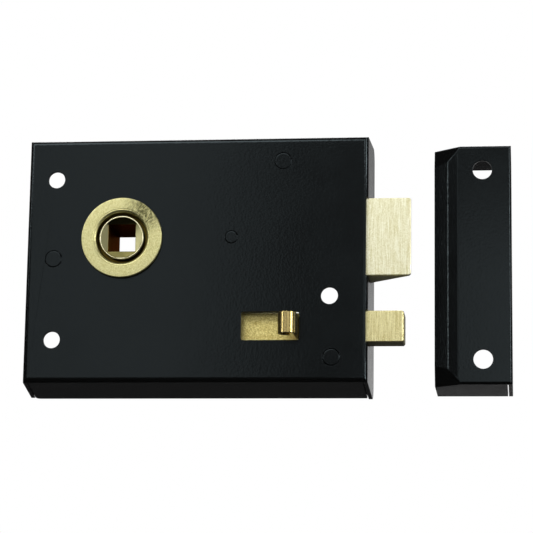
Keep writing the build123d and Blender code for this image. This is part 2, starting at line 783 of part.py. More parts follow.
# Keep: pressed steel box with a curved lip towards the lock and open behind. The sheet turns from
# the slope and the lip into each end over a slanted corner
lip_x = backset + keep_gap
face_x = lip_x + keep_lip
keep_right_x = face_x + keep_face + bend_radius
keep_front_y = -keep_depth
keep_bottom_z = keep_top_z - keep_height
keep_middle_z = keep_top_z - keep_height / 2
profile = [
    (keep_right_x, 0),
    (keep_right_x, keep_front_y),
    (face_x, keep_front_y),
    (face_x - keep_slope, keep_front_y + keep_slope_drop),
    (lip_x, keep_front_y + keep_lip_drop),
]
profile_bends = [bend_radius, keep_ridge, keep_bead]


def keep_corner_plane(end_z, way, inset=0):
    """Plane of a slanted corner, facing out, moved into the keep by inset."""
    ridge = Vector(face_x, keep_front_y, end_z + way * bend_radius)
    foot = Vector(face_x - keep_slope, keep_front_y + keep_slope_drop, end_z + way * keep_slant)
    free = Vector(lip_x, keep_front_y + keep_corner, end_z)
    outward = (foot - ridge).cross(free - ridge).normalized() * way
    return Plane(origin=ridge - outward * inset, z_dir=outward)


with BuildPart() as keep_hollow:
    with BuildSketch(Plane.XY.offset(keep_bottom_z + sheet)):
        with BuildLine():
            inside = offset(
                FilletPolyline(*profile, radius=profile_bends, mode=Mode.PRIVATE),
                sheet,
                side=Side.RIGHT,
                closed=False,
            )
            wall_end, lip_end = sorted((inside @ 0, inside @ 1), key=lambda point: -point.X)
            Polyline(
                lip_end,
                (lip_x, keep_front_y + keep_lip_drop),
                (lip_x - overrun, keep_front_y + keep_lip_drop),
                (lip_x - overrun, overrun),
                (wall_end.X, overrun),
                wall_end,
            )
        make_face()
    extrude(amount=keep_height - 2 * sheet)
    split(bisect_by=keep_corner_plane(keep_bottom_z, 1, sheet), keep=Keep.BOTTOM)
    split(bisect_by=keep_corner_plane(keep_top_z, -1, sheet), keep=Keep.BOTTOM)
with BuildPart() as keep:
    # Outside of the box, with its ends bent over at the same radius as its side
    with BuildSketch(Plane.XY.offset(keep_bottom_z)):
        with BuildLine():
            outside = FilletPolyline(*profile, radius=profile_bends)
            Polyline(outside @ 1, (lip_x, 0), outside @ 0)
        make_face()
    extrude(amount=keep_height)
    end_edges = keep.faces().filter_by(Axis.Z).edges()
    front_edges = end_edges.filter_by(
        lambda edge: edge.center().Y < -sheet and edge.center().X > lip_x + sheet / 2
    )
    fillet(front_edges, bend_radius)

    split(bisect_by=keep_corner_plane(keep_bottom_z, 1), keep=Keep.BOTTOM)
    split(bisect_by=keep_corner_plane(keep_top_z, -1), keep=Keep.BOTTOM)

    # Inside: open at the back and on the left, under the lip
    add(keep_hollow.part, mode=Mode.SUBTRACT)

    # Seams between the right wall and the ends, and the screw holes
    with BuildSketch(Plane.XY.offset(keep_bottom_z - overrun)):
        with Locations((keep_right_x - sheet - seam_gap / 2, (keep_front_y + bend_radius + overrun) / 2)):
            Rectangle(seam_gap, overrun - keep_front_y - bend_radius)
    extrude(amount=keep_height + 2 * overrun, mode=Mode.SUBTRACT)
    with BuildSketch(front_plane(keep_front_y + sheet + overrun)):
        with Locations((face_x + keep_hole_inset, keep_middle_z)):
            with GridLocations(0, keep_hole_spacing, 1, 2):
                Circle(keep_hole_radius)
    extrude(amount=sheet + 2 * overrun, mode=Mode.SUBTRACT)
keep.part.label = "keep"
export_step(keep.part, "parts/keep.step")
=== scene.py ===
# %% [markdown]
# # A rim latch with a snib and its keep
#
# The lock is a pressed steel box in baked black enamel that is screwed to the face of a door.
# What the hand or the door frame meets is brass. This notebook dresses the measured model: it
# keeps every size, rounds the edges as pressing, turning and filing leave them, and gives each
# surface the finish of its real material.

# %% Load the measured frame
import json
import math
import bpy
from mathutils import Matrix, Vector


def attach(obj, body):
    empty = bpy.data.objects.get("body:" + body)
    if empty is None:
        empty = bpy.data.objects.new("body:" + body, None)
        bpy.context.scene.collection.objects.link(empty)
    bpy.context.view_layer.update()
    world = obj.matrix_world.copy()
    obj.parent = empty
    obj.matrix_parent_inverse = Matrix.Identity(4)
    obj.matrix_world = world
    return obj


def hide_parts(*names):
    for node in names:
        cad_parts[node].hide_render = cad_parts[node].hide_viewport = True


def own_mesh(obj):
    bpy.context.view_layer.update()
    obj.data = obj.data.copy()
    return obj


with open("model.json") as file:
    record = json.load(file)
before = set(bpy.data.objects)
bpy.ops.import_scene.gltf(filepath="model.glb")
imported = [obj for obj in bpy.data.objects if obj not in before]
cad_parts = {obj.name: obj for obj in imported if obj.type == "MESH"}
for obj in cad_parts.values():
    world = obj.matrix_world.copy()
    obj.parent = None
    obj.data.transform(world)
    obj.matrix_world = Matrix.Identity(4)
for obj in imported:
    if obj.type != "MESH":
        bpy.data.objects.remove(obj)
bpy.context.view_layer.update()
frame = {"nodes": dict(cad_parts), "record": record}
nodes = frame["nodes"]
print("pieces in the frame:", len(nodes))

# %% [markdown]
# Blender counts in metres, but locks are drawn in millimetres, so one factor turns the one into
# the other. Every length below is a millimetre on the real lock: X runs towards the fore-end,
# which is the side that the bolts leave by, Z is up, and the face looks towards -Y.

# %% Units
MM = 0.001


def at_mm(*values):
    """Millimetres as a tuple of metres."""
    return tuple(value * MM for value in values)


# %% [markdown]
# ## Materials
#
# Colours are written as the hex codes that a colour picker shows, and one function turns them
# into the linear values that a shader needs. The size of a pattern is written as the distance
# between its features, and another function turns that into the scale of a texture.

# %% Colours and sizes of patterns
def colour(code):
    """Linear colour, with full alpha, of an sRGB hex code."""
    channels = [int(code[at:at + 2], 16) / 255 for at in (0, 2, 4)]
    linear = [c / 12.92 if c <= 0.04045 else ((c + 0.055) / 1.055) ** 2.4 for c in channels]
    return (*linear, 1.0)


def per_metre(size_mm):
    """Scale of a pattern whose features are this many millimetres apart."""
    return 1 / (size_mm * MM)


# %% [markdown]
# A material is a small tree of nodes. One function adds a node, sets its options and fills its
# inputs: a value is set, and another node's output is linked. A colour ramp gets its stops here
# too, as positions and hex codes.

# %% Build a tree of nodes
def add_node(tree, kind, inputs=None, stops=None, **options):
    """Add one node with its options, its inputs (values or outputs) and its colour stops."""
    made = tree.nodes.new(kind)
    for name, value in options.items():
        setattr(made, name, value)
    for name, value in (inputs or {}).items():
        if isinstance(value, bpy.types.NodeSocket):
            tree.links.new(value, made.inputs[name])
        else:
            made.inputs[name].default_value = value
    if stops:
        elements = made.color_ramp.elements
        while len(elements) < len(stops):
            elements.new(1.0)
        for element, (position, code) in zip(elements, stops):
            element.position = position
            element.color = colour(code)
    return made


def new_material(name):
    """A material with its shader linked to the output, and the place on the object."""
    material = bpy.data.materials.new(name)
    material.use_nodes = True
    tree = material.node_tree
    tree.nodes.clear()
    shader = add_node(tree, "ShaderNodeBsdfPrincipled")
    add_node(tree, "ShaderNodeOutputMaterial", {"Surface": shader.outputs["BSDF"]})
    place = add_node(tree, "ShaderNodeTexCoord").outputs["Object"]
    return material, tree, shader, place


# %% [markdown]
# **Baked black enamel.** The case and the keep are sprayed and stoved, which leaves a satin film
# with the dimples that sprayers call orange peel. Real ones are only microns deep, which wouldn't
# show, so they are drawn deeper here. The black is neutral and even, and only the cool sheen on it
# shows the shape, so the roughness and the bump do the work.

# %% Enamel
PEEL_MM, PEEL_DEPTH_MM = 0.6, 0.08
CLOUD_MM = 16.0
GLOSSY, SATIN = 0.15, 0.2
SHEEN = 0.25


def enamel_film(tree, shader, place):
    """Set a shader up as satin black stoving enamel with orange peel."""
    peel = add_node(tree, "ShaderNodeTexNoise", {
        "Vector": place, "Scale": per_metre(PEEL_MM), "Detail": 2.0, "Roughness": 0.5})
    cloud = add_node(tree, "ShaderNodeTexNoise", {
        "Vector": place, "Scale": per_metre(CLOUD_MM), "Detail": 2.0})
    gloss = add_node(tree, "ShaderNodeMapRange", {
        "Value": cloud.outputs["Fac"], "From Min": 0.3, "From Max": 0.7,
        "To Min": GLOSSY, "To Max": SATIN})
    bump = add_node(tree, "ShaderNodeBump", {
        "Height": peel.outputs["Fac"], "Strength": 0.5, "Distance": PEEL_DEPTH_MM * MM})
    tree.links.new(gloss.outputs["Result"], shader.inputs["Roughness"])
    tree.links.new(bump.outputs["Normal"], shader.inputs["Normal"])
    shader.inputs["Base Color"].default_value = colour("050505")
    shader.inputs["Specular IOR Level"].default_value = SHEEN
    shader.inputs["Specular Tint"].default_value = colour("e2f8ff")


def make_enamel():
    """Satin black stoving enamel on pressed steel."""
    material, tree, shader, place = new_material("satin_black_stoving_enamel")
    enamel_film(tree, shader, place)
    return material


# %% [markdown]
# **Bare metal.** Brushing, turning, casting or plating leaves a grain, and the same grain sets
# the colour, the gloss and the relief, because a groove is darker, duller and deeper at once. A
# stretched noise draws it: equal factors give an even grain, and a large one gives long lines.

# %% Bare metal
def metal_grain(tree, place, grain_mm, stretch, roughness):
    """Noise that is stretched along X, Y and Z by the three factors."""
    lines = add_node(tree, "ShaderNodeMapping", {
        "Vector": place, "Scale": [1 / factor for factor in stretch]})
    return add_node(tree, "ShaderNodeTexNoise", {
        "Vector": lines.outputs["Vector"], "Scale": per_metre(grain_mm),
        "Detail": 3.0, "Roughness": roughness}).outputs["Fac"]


def bare_metal(tree, shader, grain, tones, roughness, spread, swing, relief, depth_mm):
    """Let a grain set the colour, the gloss and the relief of metal."""
    tone = add_node(tree, "ShaderNodeValToRGB", {"Fac": grain}, stops=tones)
    gloss = add_node(tree, "ShaderNodeMapRange", {
        "Value": grain, "From Min": 0.5 - spread, "From Max": 0.5 + spread,
        "To Min": roughness + swing, "To Max": roughness - swing})
    bump = add_node(tree, "ShaderNodeBump", {
        "Height": grain, "Strength": relief, "Distance": depth_mm * MM})
    tree.links.new(tone.outputs["Color"], shader.inputs["Base Color"])
    tree.links.new(gloss.outputs["Result"], shader.inputs["Roughness"])
    tree.links.new(bump.outputs["Normal"], shader.inputs["Normal"])
    shader.inputs["Metallic"].default_value = 1.0


# %% [markdown]
# ** Brass.** All the brass here is one pale alloy, and mostly the way that each piece was finished
# tells them apart. The bolts are linished on a belt, which draws upright grain lines, and the
# snib bolt's copy of that brass is darker, as painted shade, and yellower. The bush is turned;
# the slide keeps the granular skin that it was pressed with; the thumb piece is rolled smooth and
# drawn darker, as a painted dark reflection; the hub is cast, and drawn darker in its mouth as
# painted shade. One function mixes the grain with fine pits, and each finish is one call of it.

# %% Brass
def make_brass(name, dark, light, grain_mm, stretch, roughness, depth_mm, pit_mm=0.3, dark_overlays=()):
    """Brass with a grain, fine pits and darker overlays, each a mask and a colour."""
    material, tree, shader, place = new_material(name)
    pit = add_node(tree, "ShaderNodeTexNoise", {
        "Vector": place, "Scale": per_metre(pit_mm), "Detail": 2.0, "Roughness": 0.6})
    mixed = add_node(tree, "ShaderNodeMix", {
        "Factor": 0.5, "A": metal_grain(tree, place, grain_mm, stretch, 0.6),
        "B": pit.outputs["Fac"]})
    bare_metal(tree, shader, mixed.outputs["Result"], [(0.38, dark), (0.62, light)], roughness,
               spread=0.15, swing=0.06, relief=0.6, depth_mm=depth_mm)
    for make_mask, code in dark_overlays:
        darkened = add_node(tree, "ShaderNodeMix", {
            0: make_mask(tree, place), 6: shader.inputs["Base Color"].links[0].from_socket,
            7: colour(code)}, data_type="RGBA")
        tree.links.new(darkened.outputs[2], shader.inputs["Base Color"])
    return material


# %% [markdown]
# Brass is drawn darker where it lies in shade or mirrors the dim room, as painted shade and painted
# reflection, and the walls of the square are drawn dark amber. Each overlay is a darker colour laid
# over the brass where a mask is 1, and a mask is made from the place on the lock: how deep it lies,
# how far from the spindle, or whether it is in the square.

# %% Masks for painted shade and other dark overlays
FADE_MM = 0.15
FLANGE_Y = -23.2       # front of the ring round the spindle


def deeper(y_mm):
    """Mask of what lies deeper in the lock than this Y, for painted shade."""
    def mask(tree, place):
        split = add_node(tree, "ShaderNodeSeparateXYZ", {"Vector": place})
        return add_node(tree, "ShaderNodeMapRange", {
            "Value": split.outputs["Y"], "From Min": (y_mm - FADE_MM) * MM,
            "From Max": (y_mm + FADE_MM) * MM}).outputs["Result"]
    return mask


def within(radius_mm, above_mm=-50.0):
    """Mask of what lies nearer to the spindle than this radius, and above this Z."""
    def mask(tree, place):
        flat = add_node(tree, "ShaderNodeVectorMath", {0: place, 1: (1, 0, 1)},
                        operation="MULTIPLY")
        away = add_node(tree, "ShaderNodeVectorMath", {0: flat.outputs["Vector"]},
                        operation="LENGTH")
        near = add_node(tree, "ShaderNodeMath", {
            0: away.outputs["Value"], 1: radius_mm * MM}, operation="LESS_THAN")
        split = add_node(tree, "ShaderNodeSeparateXYZ", {"Vector": place})
        above = add_node(tree, "ShaderNodeMath", {
            0: split.outputs["Z"], 1: above_mm * MM}, operation="GREATER_THAN")
        return add_node(tree, "ShaderNodeMath", {
            0: near.outputs["Value"], 1: above.outputs["Value"]},
            operation="MULTIPLY").outputs["Value"]
    return mask


def in_square(half_mm):
    """Mask of the walls of the square hole for the spindle."""
    def mask(tree, place):
        size = add_node(tree, "ShaderNodeVectorMath", {0: place}, operation="ABSOLUTE")
        split = add_node(tree, "ShaderNodeSeparateXYZ", {"Vector": size.outputs["Vector"]})
        widest = add_node(tree, "ShaderNodeMath", {
            0: split.outputs["X"], 1: split.outputs["Z"]}, operation="MAXIMUM")
        return add_node(tree, "ShaderNodeMath", {
            0: widest.outputs["Value"], 1: half_mm * MM}, operation="LESS_THAN").outputs["Value"]
    return mask


def dark_reflection(x_mm, z_mm, reach_mm, streak_mm):
    """Mask of a painted dark reflection round a point of the ring, as slanting streaks, thickest in
    their middle.
    """
    def mask(tree, place):
        away = add_node(tree, "ShaderNodeVectorMath", {
            0: place, 1: at_mm(x_mm, FLANGE_Y, z_mm)}, operation="DISTANCE")
        patch = add_node(tree, "ShaderNodeMapRange", {
            "Value": away.outputs["Value"], "From Min": reach_mm * MM, "From Max": 0.0})
        lines = add_node(tree, "ShaderNodeMapping", {
            "Vector": place, "Rotation": (0, math.radians(45), 0), "Scale": (1, 1, 3)},
            vector_type="TEXTURE")
        streak = add_node(tree, "ShaderNodeTexNoise", {
            "Vector": lines.outputs["Vector"], "Scale": per_metre(streak_mm), "Detail": 3.0})
        streaks = add_node(tree, "ShaderNodeMapRange", {
            "Value": streak.outputs["Fac"], "From Min": 0.38, "From Max": 0.6,
            "To Min": 0.3, "To Max": 1.6})
        return add_node(tree, "ShaderNodeMath", {
            0: patch.outputs["Result"], 1: streaks.outputs["Result"]},
            operation="MULTIPLY", use_clamp=True).outputs["Value"]
    return mask


# %% [markdown]
# **Steel.** The works behind the face are plain steel: some drawn and bright, some zinc plated
# with the pale bloom of that plating, and the springs dark with oil. A pillar is riveted into
# the face before the case is enamelled, so its end there is black as well, and its material
# changes behind the skin of the face.

# %% Steel
FILM_BEHIND_MM = -21.6


def make_steel(name, dark, light, grain_mm, stretch, roughness, painted=False):
    """Steel with drawn or plated grain, enamelled at the face of the case where asked."""
    material, tree, shader, place = new_material(name)
    bare_metal(tree, shader, metal_grain(tree, place, grain_mm, stretch, 0.55),
               [(0.35, dark), (0.65, light)], roughness,
               spread=0.2, swing=0.07, relief=0.3, depth_mm=0.01)
    if painted:
        film = add_node(tree, "ShaderNodeBsdfPrincipled")
        enamel_film(tree, film, place)
        depth = add_node(tree, "ShaderNodeSeparateXYZ", {"Vector": place})
        behind = add_node(tree, "ShaderNodeMath", {
            0: depth.outputs["Y"], 1: FILM_BEHIND_MM * MM}, operation="GREATER_THAN")
        both = add_node(tree, "ShaderNodeMixShader", {
            "Fac": behind.outputs["Value"], 1: film.outputs["BSDF"], 2: shader.outputs["BSDF"]})
        output = next(node for node in tree.nodes if node.bl_idname == "ShaderNodeOutputMaterial")
        tree.links.new(both.outputs["Shader"], output.inputs["Surface"])
    return material


# %% [markdown]
# The finishes of this lock, each named for its material and for how its surface was made. The bush
# is drawn dark in the gap behind its roll as painted shade, with a painted dark reflection in
# slanting streaks at the upper right of its flange. The mouth of the hub is drawn darker inside its
# polished ring as painted shade, most of all above and least at the sides, and so is the hub behind
# its nose.
# The walls of the square are drawn dark amber, and as the lens sees them at a flat angle, the edge
# tint counts as well.

# %% The finishes
EVEN = (1, 1, 1)
UPRIGHT = (1, 1, 20)
LENGTHWISE = (20, 1, 1)
finish = {
    "enamel": make_enamel(),
    "linished": make_brass("linished_brass", "d4cd9a", "fffee6", 0.35, UPRIGHT, 0.42, 0.02,
                           pit_mm=0.22),
    # Painted shade: the snib bolt's linished brass is a darker, yellower copy of the latch's.
    "linished_snib_shaded": make_brass("linished_yellow_brass_painted_shade", "c4b778", "f9f2be", 0.35, UPRIGHT, 0.42,
                                0.02, pit_mm=0.22),
    # Painted shade in the bush's gap behind its roll, and a painted dark reflection at its upper
    # right.
    "turned": make_brass("turned_brass", "bbb478", "e0dca6", 0.35, EVEN, 0.40, 0.01, dark_overlays=[
        (deeper(-22.5), "6a5a24"), (dark_reflection(6.9, 7.9, 7.5, 0.3), "5c5a3a")]),
    "pressed": make_brass("pressed_brass", "b5a154", "fbeea4", 0.35, EVEN, 0.45, 0.02),
    # The rolled brass is drawn darker than the rest: a painted dark reflection for the curl's
    # middle.
    "rolled": make_brass("rolled_brass_painted_dark_reflection", "a8945c", "c4b27a", 0.4, UPRIGHT, 0.27, 0.004),
    # Painted shade on the hub behind its nose and inside its mouth; the square is drawn dark amber.
    "cast": make_brass("cast_brass", "e6dfac", "fffadc", 0.5, EVEN, 0.38, 0.01, dark_overlays=[
        (deeper(-21.95), "6e5e2a"), (within(6.18), "5c5734"), (within(6.18, -4.1), "928e68"),
        (within(6.18, 4.1), "2e2a16"), (in_square(4.13), "6e5010")]),
    "filed": make_brass("filed_brass", "b0a25c", "efe4a6", 0.4, EVEN, 0.36, 0.01),
    "zinc": make_steel("zinc_plated_steel", "9aa0a6", "c9cdd2", 0.6, EVEN, 0.34),
    "drawn": make_steel("bright_drawn_steel", "8c8e92", "c4c6c8", 0.15, LENGTHWISE, 0.28),
    "turned_steel": make_steel("turned_steel", "8b8d90", "bfc1c4", 0.2, EVEN, 0.32),
    "riveted": make_steel("enamelled_rivet_steel", "8b8d90", "bfc1c4", 0.2, EVEN, 0.32, True),
    "spring": make_steel("oiled_spring_steel", "3c4046", "7d828a", 0.3, EVEN, 0.26),
}
cast_shader = finish["cast"].node_tree.nodes["Principled BSDF"]
cast_shader.inputs["Specular Tint"].default_value = colour("a88430")
print("finishes:", ", ".join(sorted(finish)))

# %% [markdown]
# ## Tools for shaping
#
# The pieces are shaped with the same operators as by hand. An operator acts on all that is
# selected, so each step starts from nothing selected. A block or a rod is only a start: it is
# added at its size and place, and edit mode does the rest.

# %% Start a piece
def deselect():
    """Leave edit mode and select nothing, so that an operator touches only its own piece."""
    if bpy.context.mode != "OBJECT":
        bpy.ops.object.mode_set(mode="OBJECT")
    bpy.ops.object.select_all(action="DESELECT")


def activate(piece):
    """Make one piece the only one selected and the active one."""
    deselect()
    piece.select_set(True)
    bpy.context.view_layer.objects.active = piece


def take_new(name):
    """Name the primitive that was just added and put its place into its mesh."""
    piece = bpy.context.active_object
    piece.name = name
    bpy.ops.object.transform_apply(location=True, rotation=True, scale=True)
    return piece


def add_block(name, low, high):
    """A block between two corners, in millimetres."""
    deselect()
    bpy.ops.mesh.primitive_cube_add(
        size=1, location=at_mm(*[(a + b) / 2 for a, b in zip(low, high)]),
        scale=at_mm(*[b - a for a, b in zip(low, high)]))
    return take_new(name)


def add_rod(name, start, end, radius, sides=48):
    """A round rod between two points, in millimetres."""
    deselect()
    start, end = Vector(start), Vector(end)
    along = end - start
    bpy.ops.mesh.primitive_cylinder_add(
        vertices=sides, radius=radius * MM, depth=along.length * MM,
        location=(start + end) / 2 * MM, rotation=along.to_track_quat("Z", "Y").to_euler())
    return take_new(name)


# %% [markdown]
# In edit mode, a hand picks corners, edges or faces by eye. Here a test on X, Y and Z in
# millimetres picks them: an edge or a face is chosen when all of its corners pass. A test that is
# made for either side of a middle height leaves out the edges that run across it.

# %% Choose and move
def choose(piece, kind, *tests):
    """Enter edit mode with only the corners, edges or faces selected that pass one of the tests."""
    activate(piece)
    bpy.ops.object.mode_set(mode="EDIT")
    bpy.ops.mesh.select_mode(type=kind)
    bpy.ops.mesh.select_all(action="DESELECT")
    bpy.ops.object.mode_set(mode="OBJECT")
    mesh = piece.data
    for test in tests:
        passed = [bool(test(*(corner.co / MM))) for corner in mesh.vertices]
        if kind == "VERT":
            for corner in mesh.vertices:
                corner.select = corner.select or passed[corner.index]
        else:
            for part in mesh.edges if kind == "EDGE" else mesh.polygons:
                part.select = part.select or all(passed[at] for at in part.vertices)
    bpy.ops.object.mode_set(mode="EDIT")


def anywhere(x, y, z):
    """Test that every corner passes."""
    return True


def either_side(test, middle_z=0.0):
    """The test for what lies above a middle height, and again for what lies below it."""
    return [lambda x, y, z, side=side: test(x, y, z) and (z - middle_z) * side > 0
            for side in (-1, 1)]


def shift(x=0.0, y=0.0, z=0.0):
    """Move what is selected in edit mode, in millimetres."""
    bpy.ops.transform.translate(value=at_mm(x, y, z))


def round_edges(radius, segments=4):
    """Round the selected edges."""
    bpy.ops.mesh.bevel(offset=radius * MM, segments=segments, affect="EDGES")


def tidy_normals(piece):
    """Merge doubles and turn every face outwards."""
    choose(piece, "VERT", anywhere)
    bpy.ops.mesh.remove_doubles(threshold=0.001 * MM)
    bpy.ops.mesh.normals_make_consistent(inside=False)


# %% [markdown]
# Holes and slots are cut as a workshop would: a tool of the hole's shape is taken away from the
# piece with a Boolean modifier that is applied at once, and the tool is deleted. A drill goes
# right through a piece unless its start and end say otherwise.

# %% Cut, join and copy
THROUGH = (-25.0, -5.0)


def apply_modifier(piece, kind, **settings):
    """Add a modifier with its settings and apply it at once."""
    activate(piece)
    modifier = piece.modifiers.new(kind.lower(), kind)
    for name, value in settings.items():
        setattr(modifier, name, value)
    bpy.ops.object.modifier_apply(modifier=modifier.name)


def cut(piece, *tools, operation="DIFFERENCE"):
    """Take each tool's shape away from a piece, or weld it on, and delete the tool."""
    for tool in tools:
        apply_modifier(piece, "BOOLEAN", operation=operation, solver="EXACT", object=tool)
        bpy.data.objects.remove(tool)


def drill(piece, x, z, radius, start_y=THROUGH[0], end_y=THROUGH[1]):
    """Drill a round hole along Y."""
    cut(piece, add_rod("drill", (x, start_y, z), (x, end_y, z), radius))


def copy_to(piece, name, x, z):
    """A copy of a piece with its own mesh, moved across the face by millimetres."""
    activate(piece)
    bpy.ops.object.duplicate(linked=False)
    bpy.context.active_object.location = at_mm(x, 0, z)
    return take_new(name)


# %% [markdown]
# A turned piece starts as one point. It is extruded along the profile, as (radius, y) pairs, and
# the profile is spun once round an axis that runs into the case.

# %% Turn a profile
def turn(name, profile, x=0.0, z=0.0, steps=64):
    """Spin a profile of (radius, y) points round an axis along Y."""
    deselect()
    bpy.ops.mesh.primitive_plane_add(size=1)
    piece = bpy.context.active_object
    piece.name = name
    bpy.ops.object.mode_set(mode="EDIT")
    bpy.ops.mesh.select_mode(type="VERT")
    bpy.ops.mesh.select_all(action="SELECT")
    bpy.ops.mesh.merge(type="CENTER")
    shift(x + profile[0][0], profile[0][1], z)
    for (radius, y), (next_radius, next_y) in zip(profile, profile[1:]):
        step = at_mm(next_radius - radius, next_y - y, 0)
        bpy.ops.mesh.extrude_vertices_move(TRANSFORM_OT_translate={"value": step})
    bpy.ops.mesh.select_all(action="SELECT")
    bpy.ops.mesh.spin(steps=steps, angle=2 * math.pi, center=at_mm(x, 0, z), axis=(0, 1, 0))
    tidy_normals(piece)
    return piece


def arc(centre, radius, start, end, steps=6):
    """Points of an arc in a profile, between two angles in degrees."""
    angles = [math.radians(start + (end - start) * step / steps) for step in range(steps + 1)]
    return [(centre[0] + radius * math.cos(a), centre[1] + radius * math.sin(a)) for a in angles]


# %% [markdown]
# No real edge is as sharp as a knife: even a punched one is broken by a tenth of a millimetre,
# and that is what catches the light. So every sharp edge is bevelled a little, then the shading
# is smoothed by angle, and the large faces lead the shading so that they stay flat.

# %% Finish a piece
SHARP_FROM, SMOOTH_TO = 35, 50      # degrees between two faces
body_of = {name: body for body, group in frame["record"]["behaviour"]["bodies"].items()
           for name in group}


def break_edges(piece, width, segments=2):
    """Bevel every sharp edge."""
    choose(piece, "EDGE")
    bpy.ops.mesh.edges_select_sharp(sharpness=math.radians(SHARP_FROM))
    round_edges(width, segments)


def finish_piece(piece, material, *replaced):
    """Smooth, colour and hand over a piece that stands for CAD nodes of one body."""
    activate(piece)
    bpy.ops.object.shade_smooth_by_angle(angle=math.radians(SMOOTH_TO))
    apply_modifier(piece, "WEIGHTED_NORMAL", keep_sharp=True)
    piece.data.materials.clear()
    piece.data.materials.append(finish[material])
    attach(piece, body_of[replaced[0]])
    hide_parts(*replaced)
    print(piece.name, len(piece.data.polygons), "faces")


# %% [markdown]
# ## The case
#
# The case is one blank of 1.2 mm steel. Its four walls are bent back over a 1.5 mm radius, and
# three of them lean outwards by five degrees; the fore-end stands square and carries on past the
# door's face as a lip that is let into the door's edge. It is modelled as the outer skin first:
# a block with its back taken off, leaned, bevelled and extruded, then given its thickness.

# %% Fold the case
LEFT_X, FORE_END_X, FACE_Y, BOTTOM_Z, TOP_Z = -28.6, 73.0, -22.0, -42.9, 30.0
SHEET = 1.2
BEND = 1.42            # reach of the 1.5 mm bend on either side of its corner
FLARE = math.tan(math.radians(5.3))
LIP = 5.0
LIP_CORNER = 4.39      # reach of the 4 mm round on the lip's corners
SPREAD = -FACE_Y * FLARE

case = add_block("case_pressing", (LEFT_X, FACE_Y, BOTTOM_Z), (FORE_END_X, 0, TOP_Z))
choose(case, "VERT", lambda x, y, z: y > -1 and x < 0)
shift(x=-SPREAD)
for side in (1, -1):
    choose(case, "VERT", lambda x, y, z: y > -1 and z * side > 0)
    shift(z=side * SPREAD)
choose(case, "FACE", lambda x, y, z: y > -1)
bpy.ops.mesh.delete(type="FACE")
choose(case, "EDGE", lambda x, y, z: y < FACE_Y + 0.1)
round_edges(BEND, 6)
choose(case, "EDGE", lambda x, y, z: y > -0.1 and x > FORE_END_X - 0.1)
bpy.ops.mesh.extrude_edges_move(TRANSFORM_OT_translate={"value": at_mm(0, LIP, 0)})
for side in (-1, 1):
    choose(case, "VERT", lambda x, y, z: y > LIP - 0.1 and z * side > 0)
    shift(z=side * LIP * FLARE)
choose(case, "VERT", lambda x, y, z: y > LIP - 0.1)
bpy.ops.mesh.bevel(offset=LIP_CORNER * MM, segments=6, affect="VERTICES")

# %% [markdown]
# Solidify gives the skin its 1.2 mm inwards. The rims that lie on the door are then scaled flat
# onto its plane, because a leaning wall's rim leans as well.

# %% Give the case its thickness
apply_modifier(case, "SOLIDIFY", thickness=SHEET * MM, offset=-1, use_even_offset=True,
               use_quality_normals=True)
choose(case, "VERT", lambda x, y, z: abs(y) < 0.3 and x < FORE_END_X - 0.1)
bpy.ops.transform.resize(value=(1, 0, 1), center_override=(0, 0, 0))

# %% [markdown]
# The walls are folded and not welded, so an open seam runs down from each corner of the face. It
# starts just clear of the bend, so that the two don't cut into each other where its edge is
# broken. The free corners beside the seams are rounded with snips before folding.

# %% Open the seams
SEAM, SEAM_START, CORNER = 0.25, 1.8, 1.5
BEYOND, BEHIND = 9.0, 1.0      # how far a tool runs past the walls, and past the rims behind
for x, lean in ((LEFT_X + SHEET, FLARE), (FORE_END_X - SHEET - SEAM, 0)):
    seam = add_block("seam", (x, FACE_Y + SEAM_START, BOTTOM_Z - BEYOND),
                     (x + SEAM, BEHIND, TOP_Z + BEYOND))
    choose(seam, "VERT", lambda x, y, z: y > 0)
    shift(x=-(BEHIND - FACE_Y) * lean)
    choose(seam, "VERT", lambda x, y, z: y < 0)
    shift(x=-SEAM_START * lean)
    cut(case, seam)
wall_end_x = LEFT_X - SPREAD + SHEET + 0.1
choose(case, "EDGE",
       lambda x, y, z: abs(y) < 0.05 and x < wall_end_x and z > TOP_Z + SPREAD - 0.1,
       lambda x, y, z: abs(y) < 0.05 and x < wall_end_x and z < BOTTOM_Z - SPREAD + 0.1,
       lambda x, y, z: abs(y) < 0.05 and wall_end_x < x < wall_end_x + 0.3 and z > TOP_Z,
       lambda x, y, z: abs(y) < 0.05 and wall_end_x < x < wall_end_x + 0.3 and z < BOTTOM_Z)
round_edges(CORNER, 5)

# %% [markdown]
# The face has three screw holes, round holes for the rivets and the bush, and a slot for the
# thumb piece.

# %% Pierce the case
FIXINGS = [(-20.3, 18.0), (-20.3, -30.4), (61.8, -17.7)]
PILLARS = {"left": (-20.5, -6.1), "top": (47.8, 22.9), "lower": (62.5, -35.9)}
POST_X, SNIB_Z = 32.7, -26.6
FIXING, PILLAR_RIVET, POST_RIVET, SLEEVE = 2.5, 2.5, 1.9, 8.8      # radii
BEFORE, PAST_SHEET = 2.0, 2.2      # a tool starts before the face and stops behind its sheet
holes = [(x, z, FIXING) for x, z in FIXINGS]
holes += [(x, z, PILLAR_RIVET + 0.05) for x, z in PILLARS.values()]
holes += [(POST_X, 0, POST_RIVET + 0.05), (0, 0, SLEEVE + 0.03)]
for x, z, radius in holes:
    drill(case, x, z, radius, FACE_Y - BEFORE, FACE_Y + PAST_SHEET)

SLOT_LEFT, SLOT_RIGHT, SLOT_HALF, SLOT_ROUND = 36.0, 53.0, 4.15, 0.5
slot = add_block("slot", (SLOT_LEFT, FACE_Y - BEFORE, SNIB_Z - SLOT_HALF),
                 (SLOT_RIGHT, FACE_Y + PAST_SHEET, SNIB_Z + SLOT_HALF))
choose(slot, "EDGE", *either_side(lambda x, y, z: x < SLOT_LEFT + 1, SNIB_Z),
       *either_side(lambda x, y, z: x > SLOT_RIGHT - 1, SNIB_Z))
round_edges(SLOT_ROUND)
cut(case, slot)

# %% [markdown]
# The two openings for the bolts leave a small gap all round. Each also breaks through the bend
# between the face and the fore-end.

